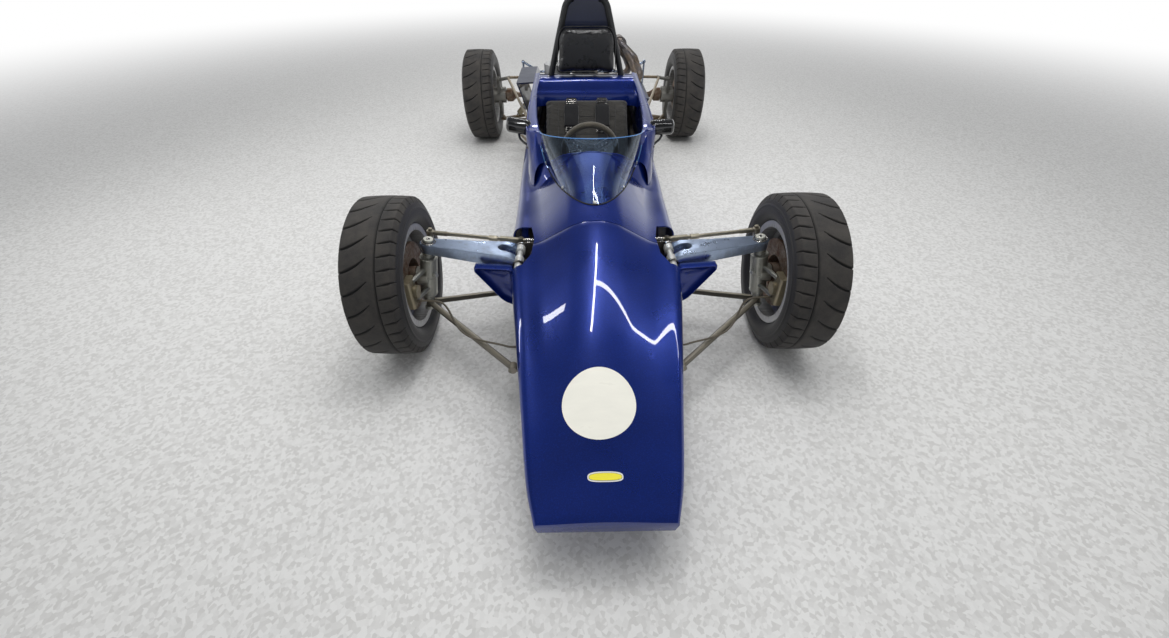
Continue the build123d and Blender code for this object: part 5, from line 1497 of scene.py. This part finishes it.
class RACINGCAR_OT_mirrors(bpy.types.Operator):
    """Gloss black mirror pods on thin curved stalks"""

    bl_idname = "racingcar.mirrors"
    bl_label = "Mirrors"

    def execute(self, context):
        parts = []
        for side, drop in ((1, 0.022), (-1, 0.014)):
            pod = prism("pod", [(-0.5, -0.5), (0.5, -0.5), (0.5, 0.5), (-0.5, 0.5)], -0.5, 0.5, "black_gloss")
            for v in pod.data.vertices:
                wide, tall = (0.110, 0.066) if v.co.y > 0 else (0.090, 0.044)
                v.co = Vector((v.co.x * wide, v.co.y * 0.046, v.co.z * tall))
            bevelled(pod, 0.016, 5, 30.0)
            tilt = Matrix.Rotation(side * 0.10, 4, "Z") @ Matrix.Rotation(0.16 if side < 0 else -0.02, 4, "Y")
            turn = tilt @ Matrix.Rotation(math.radians(-90), 4, "X")
            loop = rounded([(-0.050, -0.028), (0.050, -0.028), (0.050, 0.028), (-0.050, 0.028)], 0.016, 6)
            glass = prism("glass", loop, 0.0, 0.0012, "mirror_glass")
            lip = closed_tube("lip", [Vector((x, z, 0.001)) for x, z in loop], 0.0016, "bright_steel", 8)
            for part, y, matrix in ((pod, 0.622, tilt), (glass, 0.6447, turn), (lip, 0.6445, turn)):
                moved(part, Matrix.Translation(at_axle(side * MIRROR_X, y, MIRROR_Z - drop)) @ matrix)
            route = [at_axle(side * x, y, z) for x, y, z in (
                (0.253, 0.556, 0.530), (0.262, 0.566, 0.536), (0.284, 0.590, 0.542), (0.296, 0.606, 0.550),
                (0.298, 0.614, 0.578 - drop))]
            stalk = tube_along("stalk", route, 0.0052, "black_gloss", 12, 6)
            base, tip = at_axle(side * 0.2505, 0.553, 0.528), at_axle(side * 0.257, 0.559, 0.533)
            foot = rod("foot", base, tip, 0.011, "black_gloss")
            parts += [pod, glass, lip, stalk, foot]
        settle(joined("mirrors_dressed", parts), "chassis", "mirrors", slot="black_gloss")
        return {"FINISHED"}


class RACINGCAR_OT_fairings(bpy.types.Operator):
    """Hollowed triangular fairings in front of the rocker arms"""

    bl_idname = "racingcar.fairings"
    bl_label = "Fairings"

    def execute(self, context):
        corners = [(0.273, 0.364), (0.400, 0.373), (0.402, 0.358), (0.318, 0.236), (0.268, 0.208)]
        rings = [(0.96, -0.070), (1.0, -0.074), (1.0, -0.097), (0.985, -0.1012), (0.955, -0.1020),
                 (0.925, -0.1005), (0.90, -0.095), (0.80, -0.086), (0.60, -0.081), (0.35, -0.079),
                 (0.12, -0.0785)]
        rings = plate_rings(rounded(corners, 0.018, 6), (0.320, 0.300), rings)
        left = outwards(loft("fairing_left", rings, "body_paint", 50.0))
        settle(paired("fairings", left, 50.0), "chassis", "rocker_fairings", slot="body_paint")
        return {"FINISHED"}


class RACINGCAR_OT_rockers(bpy.types.Operator):
    """Plated rocker arms, forked round their pivot tubes, with a ring and nut at the outer end"""

    bl_idname = "racingcar.rockers"
    bl_label = "Rocker arms"

    def execute(self, context):
        left = joined("rocker_left", [self.box(), *self.tube(), *self.end()])
        settle(paired("rocker_arms_dressed", left), "chassis", "rocker_arms", slot="bright_steel")
        return {"FINISHED"}

    def box(self):
        """Tapered box of sheet with a slot at its root."""
        top, low, wide = [], [], 11
        for x in (0.270, 0.284, 0.298, 0.320, 0.354, 0.40, 0.45, 0.50, 0.54, 0.560, 0.572, 0.580, 0.586,
                  0.5895, 0.591):
            if x <= 0.560:
                front = float(np.interp(x, (0.270, 0.354, 0.560), (-0.066, -0.058, -0.0258)))
                back = float(np.interp(x, (0.270, 0.310, 0.400, 0.560), (0.041, 0.034, 0.0270, 0.0258)))
            else:
                back = math.sqrt(max(0.0, 0.026 ** 2 - (x - UPPER_BALL.x) ** 2)) + 1e-4
                front = -back
            high, deep = (float(np.interp(x, (0.262, 0.300, 0.591), heights))
                          for heights in ((0.3735, 0.3905, 0.4130), (0.3510, 0.3480, 0.3805)))
            for y in np.linspace(front, back, wide):
                top.append(at_axle(x, y, high))
                low.append(at_axle(x, y, deep))
        box = slab("arm_box", top, low, wide, "plated_steel", 35.0)
        slot = rounded([(0.238, -0.034), (0.320, -0.026), (0.334, -0.006), (0.320, 0.014), (0.238, 0.004)],
                       0.010, 5)
        cut(box, [prism("cutter", [(x, y + AXLE_Y) for x, y in slot], 0.3, 0.5)])
        return bevelled(box, 0.0018, 2, 35.0)

    def tube(self):
        return [rod("pivot_sleeve", at_axle(PIVOT_X, start, PIVOT_Z), at_axle(PIVOT_X, end, PIVOT_Z),
                    radius, finish, 28)
                for start, end, radius, finish in (
                    (-0.068, -0.030, 0.0168, "zinc_plating"), (0.004, 0.040, 0.0168, "zinc_plating"),
                    (-0.0705, -0.068, 0.0190, "bright_steel"), (0.040, 0.0425, 0.0190, "bright_steel"),
                    (-0.1255, -0.0705, 0.0125, "zinc_plating"), (0.0425, 0.0535, 0.0125, "zinc_plating"))]

    def end(self):
        way = (UPPER_BALL - LOWER_BALL).normalized()

        def at(distance):
            return at_axle(*(UPPER_BALL + way * distance))

        return [closed_tube("end_ring", circle_points(at(0.0170), way, 0.0225, 40), 0.0024, "bright_steel"),
                rod("end_seal", at(0.010), at(0.0172), 0.0210, "black_rubber", 36),
                rod("end_nut", at(0.0172), at(0.0255), 0.0118, "bright_steel", 6),
                rod("end_stud", at(0.0255), at(0.0290), 0.0062, "bright_steel", 16),
                rod("end_boot", at(-0.030), at(-0.018), 0.0150, "black_rubber", 28, 0.0185)]


# ---------------------------------------------------------------- dampers and fasteners


class RACINGCAR_OT_dampers(bpy.types.Operator):
    """Dampers with wound springs, plates and end stems"""

    bl_idname = "racingcar.dampers"
    bl_label = "Dampers"

    def execute(self, context):
        low, high = at_axle(*DAMPER_LOW), at_axle(*DAMPER_HIGH)
        way, length = (high - low).normalized(), (high - low).length
        side = way.cross(Vector((0, 1, 0))).normalized()
        up = side.cross(way)

        def at(distance):
            return low + way * distance

        wire = []
        turns, per_turn, start, end = 8, 28, 0.101, 0.336
        for i in range(turns * per_turn + 1):
            a = 2 * math.pi * i / per_turn
            middle = at(start + (end - start) * i / (turns * per_turn))
            wire.append(middle + (side * math.cos(a) + up * math.sin(a)) * 0.0295)
        parts = [tube_along("coil", wire, 0.0052, "spring_paint", 10)]
        for start, end, radius, finish, steps in (
            (0.20, length - 0.016, 0.0086, "bright_steel", 20), (0.026, 0.210, 0.0205, "gold_plating", 28),
            (0.088, 0.098, 0.0378, "aluminium", 36), (0.076, 0.088, 0.0260, "aluminium", 12),
            (0.338, 0.347, 0.0378, "aluminium", 36), (0.200, 0.216, 0.0222, "black_plastic", 28),
            (0.0128, 0.030, 0.0088, "bright_steel", 20),
        ):
            parts.append(rod("part", at(start), at(end), radius, finish, steps))
        left = joined("damper_left", parts)
        settle(paired("dampers_dressed", left), "chassis", "rear_dampers", slot="spring_paint")
        return {"FINISHED"}


class RACINGCAR_OT_fasteners(bpy.types.Operator):
    """Wheel nuts, rivets and bolts, spread by geometry nodes, and the uprights' turned collars"""

    bl_idname = "racingcar.fasteners"
    bl_label = "Fasteners"

    def execute(self, context):
        self.wheels()
        self.uprights()
        self.sheet_rivets()
        self.engine_bolts()
        return {"FINISHED"}

    def wheels(self):
        """Four nuts on each wheel."""
        for end, hub in (("front", FRONT_HUB), ("rear", REAR_HUB)):
            for name, side in SIDES:
                face = self.face_of(f"{end}_rim_{name}", at_axle(side * (hub[0] + 0.0555), *hub[1:]), side)
                out = Vector((side, 0, 0))
                spots = [(point, out) for point in circle_points(face, out, 0.054, 4, math.radians(45))]
                nuts = screws(f"{end}_nuts_{name}", spots, "bright_steel", 0.0105, 0.012, 6)
                settle(nuts, f"{end}_wheel_{name}", slot="bright_steel")

    def uprights(self):
        """Turned collars and a bolted boss on each front upright."""
        span, way = (UPPER_BALL - LOWER_BALL).length, (UPPER_BALL - LOWER_BALL).normalized()
        for name, side in SIDES:

            def at(distance):
                centre = LOWER_BALL + way * distance
                return at_axle(side * centre.x, 0.0, centre.z)

            parts = []
            for distance, radius in ((0.030, 0.0190), (0.046, 0.0288), (0.120, 0.0290),
                                     (span - 0.046, 0.0288), (span - 0.034, 0.0190), (span - 0.024, 0.0190)):
                ring = circle_points(at(distance), (side * way.x, 0.0, way.z), radius, 40)
                parts.append(closed_tube("collar", ring, 0.0017, "machined_cast", 8))
            out, boss = Vector((-side * 0.8, -0.6, 0.0)), at(span * 0.55)
            for start, end, radius, finish, steps in ((0.024, 0.037, 0.0095, "machined_cast", 28),
                                                      (0.037, 0.043, 0.0078, "zinc_plating", 6)):
                parts.append(rod("boss", boss + out * start, boss + out * end, radius, finish, steps))
            settle(joined(f"upright_collars_{name}", parts), f"knuckle_{name}", slot="grey_cast")

    def face_of(self, node, place, side):
        """Outer face of the wheel's centre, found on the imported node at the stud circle."""
        start = place + Vector((side * 0.2, 0.034, 0.046))
        hit = surface_of(frame["nodes"][node]).ray_cast(start, Vector((-side, 0, 0)))[0]
        return Vector((hit.x + side * 0.004, place.y, place.z)) if hit else place

    def sheet_rivets(self):
        spots = []
        for y in stations(-0.84, -0.06, 0.065) + stations(0.02, BODY_END - 0.03, 0.08):
            x, z = section(smooth_rows(NOSE_ROWS if y < DASH_Y else COCKPIT_ROWS, [y])[0])[1]
            if abs(y - 0.095) > 0.03:
                spots += [(at_axle(side * (x + 0.0003), y, z + 0.004), (side, 0, 0)) for _, side in SIDES]
        rivets = screws("sill_rivets", spots, "bright_steel", 0.0032, 0.0014, 10)
        settle(rivets, "chassis", slot="bright_steel")
        spots, y = [], SEAM_Y + 0.016
        for x in (-0.225, 0.225):
            normal = body_normal(x, y)
            spots.append((at_axle(x, y, body_height(x, y)) + normal * 0.0002, normal))
        settle(screws("seam_screws", spots, "bright_steel", 0.0050, 0.002), "chassis", slot="bright_steel")

    def engine_bolts(self):
        """Bolts of the cam cover, sump, exhaust flanges and gearbox."""
        spots = []
        for y in stations(1.60, 2.00, 0.066):
            for _, side in SIDES:
                spots += [(at_axle(side * 0.046, y, 0.5502), (0, 0, 1)),
                          (at_axle(side * 0.1103, y, 0.170), (side, 0, 0))]
        spots += [(at_axle(0.0834, port + dy, 0.478), (1, 0, 0))
                  for port in (1.640, 1.742, 1.858, 1.960) for dy in (-0.026, 0.026)]
        spots += [(at_axle(side * 0.0794, y, 0.350), (side, 0, 0))
                  for y in (2.30, 2.38, 2.47, 2.54) for _, side in SIDES]
        heads = screws("engine_bolts", spots, "bright_steel", 0.0058, 0.0045, 6)
        settle(heads, "chassis", slot="bright_steel")


# ---------------------------------------------------------------- brake hoses


HOSE_ROUTE = (
    (0.6122, -0.100, 0.240), (0.560, -0.100, 0.238), (0.541, -0.101, 0.236), (0.522, -0.104, 0.228),
    (0.506, -0.116, 0.208), (0.492, -0.138, 0.186), (0.472, -0.164, 0.168), (0.444, -0.190, 0.160),
    (0.410, -0.212, 0.161), (0.376, -0.232, 0.168), (0.338, -0.250, 0.174), (0.306, -0.266, 0.180),
    (0.284, -0.280, 0.184), (0.262, -0.280, 0.184),
)

class RACINGCAR_OT_brake_hoses(bpy.types.Operator):
    """Front brake hoses from the calipers to the body"""

    bl_idname = "racingcar.brake_hoses"
    bl_label = "Brake hoses"

    def execute(self, context):
        for name, side in SIDES:
            points = [at_axle(side * x, y, z) for x, y, z in HOSE_ROUTE]
            piece = tube_along(f"brake_line_{name}", points, 0.0035, "hose_rubber", 12, 8)
            bare = drawn_curve("route", points, 8)
            bpy.data.meshes.remove(bare)
            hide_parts(f"brake_hose_{name}")
            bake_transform(piece)
        return {"FINISHED"}


# ---------------------------------------------------------------- stage


def studio_floor(name):
    """Pale speckled floor that fades to white away from the car."""
    f = Finish(name, (0.62, 0.615, 0.60), 0.6)
    specks = f.span(f.speckle(95.0), 0.25, 0.9, 0.0, 0.5)
    f.give(Base_Color=f.mix(specks, (0.64, 0.635, 0.62), (0.40, 0.39, 0.375)))
    glow = f.node("Emission", {"Color": (1.0, 1.0, 1.0, 1.0), "Strength": 1.0})
    seen = f.math("MAXIMUM", f.mirrored(), f.node("LightPath").outputs["Is Camera Ray"])
    far = f.node("VectorMath", {0: f.coords.outputs["Object"]}, operation="LENGTH").outputs["Value"]
    fade = f.node("MapRange", {"Value": far, "From Min": 2.6, "From Max": 9.0},
                  interpolation_type="SMOOTHSTEP")
    share = f.math("MULTIPLY", seen, fade.outputs[0])
    blend = f.node("MixShader", {0: share, 1: f.shader.outputs[0], 2: glow.outputs[0]})
    f.set(f.tree.nodes["Material Output"], {"Surface": blend.outputs[0]})
    return f.material


class RACINGCAR_OT_stage(bpy.types.Operator):
    """Pale floor, soft lamps and the camera"""

    bl_idname = "racingcar.stage"
    bl_label = "Stage"

    def execute(self, context):
        ring = [(x, y, 0.0) for x, y in circle(40.0, 48)]
        mesh_object("floor", ring, [tuple(range(len(ring)))], "pale_floor")
        self.sky(context)
        self.lamps()
        self.camera(context)
        context.scene.view_settings.view_transform = "Standard"
        return {"FINISHED"}

    def sky(self, context):
        """White to the camera, and a soft band in what mirrors it."""
        world = bpy.data.worlds.new("studio")
        context.scene.world = world
        world.use_nodes = True
        sky = Nodes(world.node_tree)
        height = sky.node("SeparateXYZ", {0: sky.coords.outputs["Generated"]}).outputs["Z"]
        band, plain = sky.span(height, 0.02, 0.40, 0.85, 0.10), 0.36
        soft = sky.math("MULTIPLY_ADD", sky.mirrored(), sky.math("SUBTRACT", band, plain), plain)
        seen = sky.node("LightPath").outputs["Is Camera Ray"]
        strength = sky.math("MULTIPLY_ADD", seen, sky.math("SUBTRACT", 1.0, soft), soft)
        sky.set(sky.tree.nodes["Background"], {"Color": (0.93, 0.96, 1.0, 1.0), "Strength": strength})

    def lamps(self):
        for name, place, aim, size, power, mirrored in (
            ("strip_middle", (-0.12, -0.5, 2.9), (-0.05, -0.3, 0.0), (0.10, 1.5), 16.0, True),
            ("strip_left", (-2.5, -0.3, 1.9), (-0.2, -0.2, 0.2), (0.12, 1.9), 12.0, True),
            ("strip_right", (1.25, -0.5, 2.9), (0.2, -0.3, 0.2), (0.10, 3.0), 18.0, True),
            ("soft_top", (0.0, 0.6, 3.8), (0.0, 0.3, 0.0), (4.6, 5.2), 118.0, False),
            ("front_fill", (0.6, -4.4, 2.6), (0.0, -0.6, 0.3), (3.0, 1.6), 26.0, False),
            ("rear_strip", (0.0, 4.4, 3.2), (0.0, 1.0, 0.3), (2.6, 0.25), 40.0, True),
        ):
            lamp = bpy.data.lights.new(name, "AREA")
            lamp.shape = "RECTANGLE"
            lamp.size, lamp.size_y = size
            lamp.energy = power
            obj = linked(name, lamp)
            obj.location = place
            obj.visible_glossy = mirrored
            way = Vector(aim) - Vector(place)
            obj.rotation_euler = way.to_track_quat("-Z", "Y").to_euler()

    def camera(self, context):
        """The camera that was matched to the photograph."""
        camera = bpy.data.cameras.new("camera")
        camera.sensor_width = 36.0
        camera.lens = 14.83
        camera.clip_start = 0.05
        right, up = Vector((0.99982, -0.01891, 0.00076)), Vector((0.01142, 0.63444, 0.77289))
        forward = Vector((0.01509, 0.77274, -0.63454))
        view = linked("camera", camera)
        view.matrix_world = (Matrix.Translation((-0.0639, -2.4134, 1.2406))
                             @ Matrix((right, up, -forward)).transposed().to_4x4())
        context.scene.camera = view


class RACINGCAR_PT_panel(bpy.types.Panel):
    """Lists the steps that build the car"""

    bl_idname = "RACINGCAR_PT_panel"
    bl_label = "Racing Car"
    bl_space_type = "VIEW_3D"
    bl_region_type = "UI"
    bl_category = "Racing Car"

    def draw(self, context):
        for group in (context.scene.racing_car_sizes, context.scene.racing_car_paint):
            for name in group.__annotations__:
                self.layout.prop(group, name)
        for step in STEPS:
            self.layout.operator(step.bl_idname)


STEPS = (
    RACINGCAR_OT_stage, RACINGCAR_OT_brake_hoses, RACINGCAR_OT_bodywork, RACINGCAR_OT_nose_marks,
    RACINGCAR_OT_tyres, RACINGCAR_OT_cockpit_trim, RACINGCAR_OT_fairings, RACINGCAR_OT_rockers,
    RACINGCAR_OT_mirrors, RACINGCAR_OT_steering, RACINGCAR_OT_seat, RACINGCAR_OT_headrest,
    RACINGCAR_OT_dampers, RACINGCAR_OT_fasteners,
)
CLASSES = (RacingCarPaint, RacingCarSizes, *STEPS, RACINGCAR_PT_panel)


def register():
    for cls in CLASSES:
        bpy.utils.register_class(cls)
    bpy.types.Scene.racing_car_paint = bpy.props.PointerProperty(type=RacingCarPaint)
    bpy.types.Scene.racing_car_sizes = bpy.props.PointerProperty(type=RacingCarSizes)


def unregister():
    del bpy.types.Scene.racing_car_sizes
    del bpy.types.Scene.racing_car_paint
    for cls in reversed(CLASSES):
        bpy.utils.unregister_class(cls)


def main():
    register()
    make_finishes()
    dress_nodes()
    for step in STEPS:
        group, name = step.bl_idname.split(".")
        getattr(getattr(bpy.ops, group), name)()


if __name__ == "__main__":
    main()
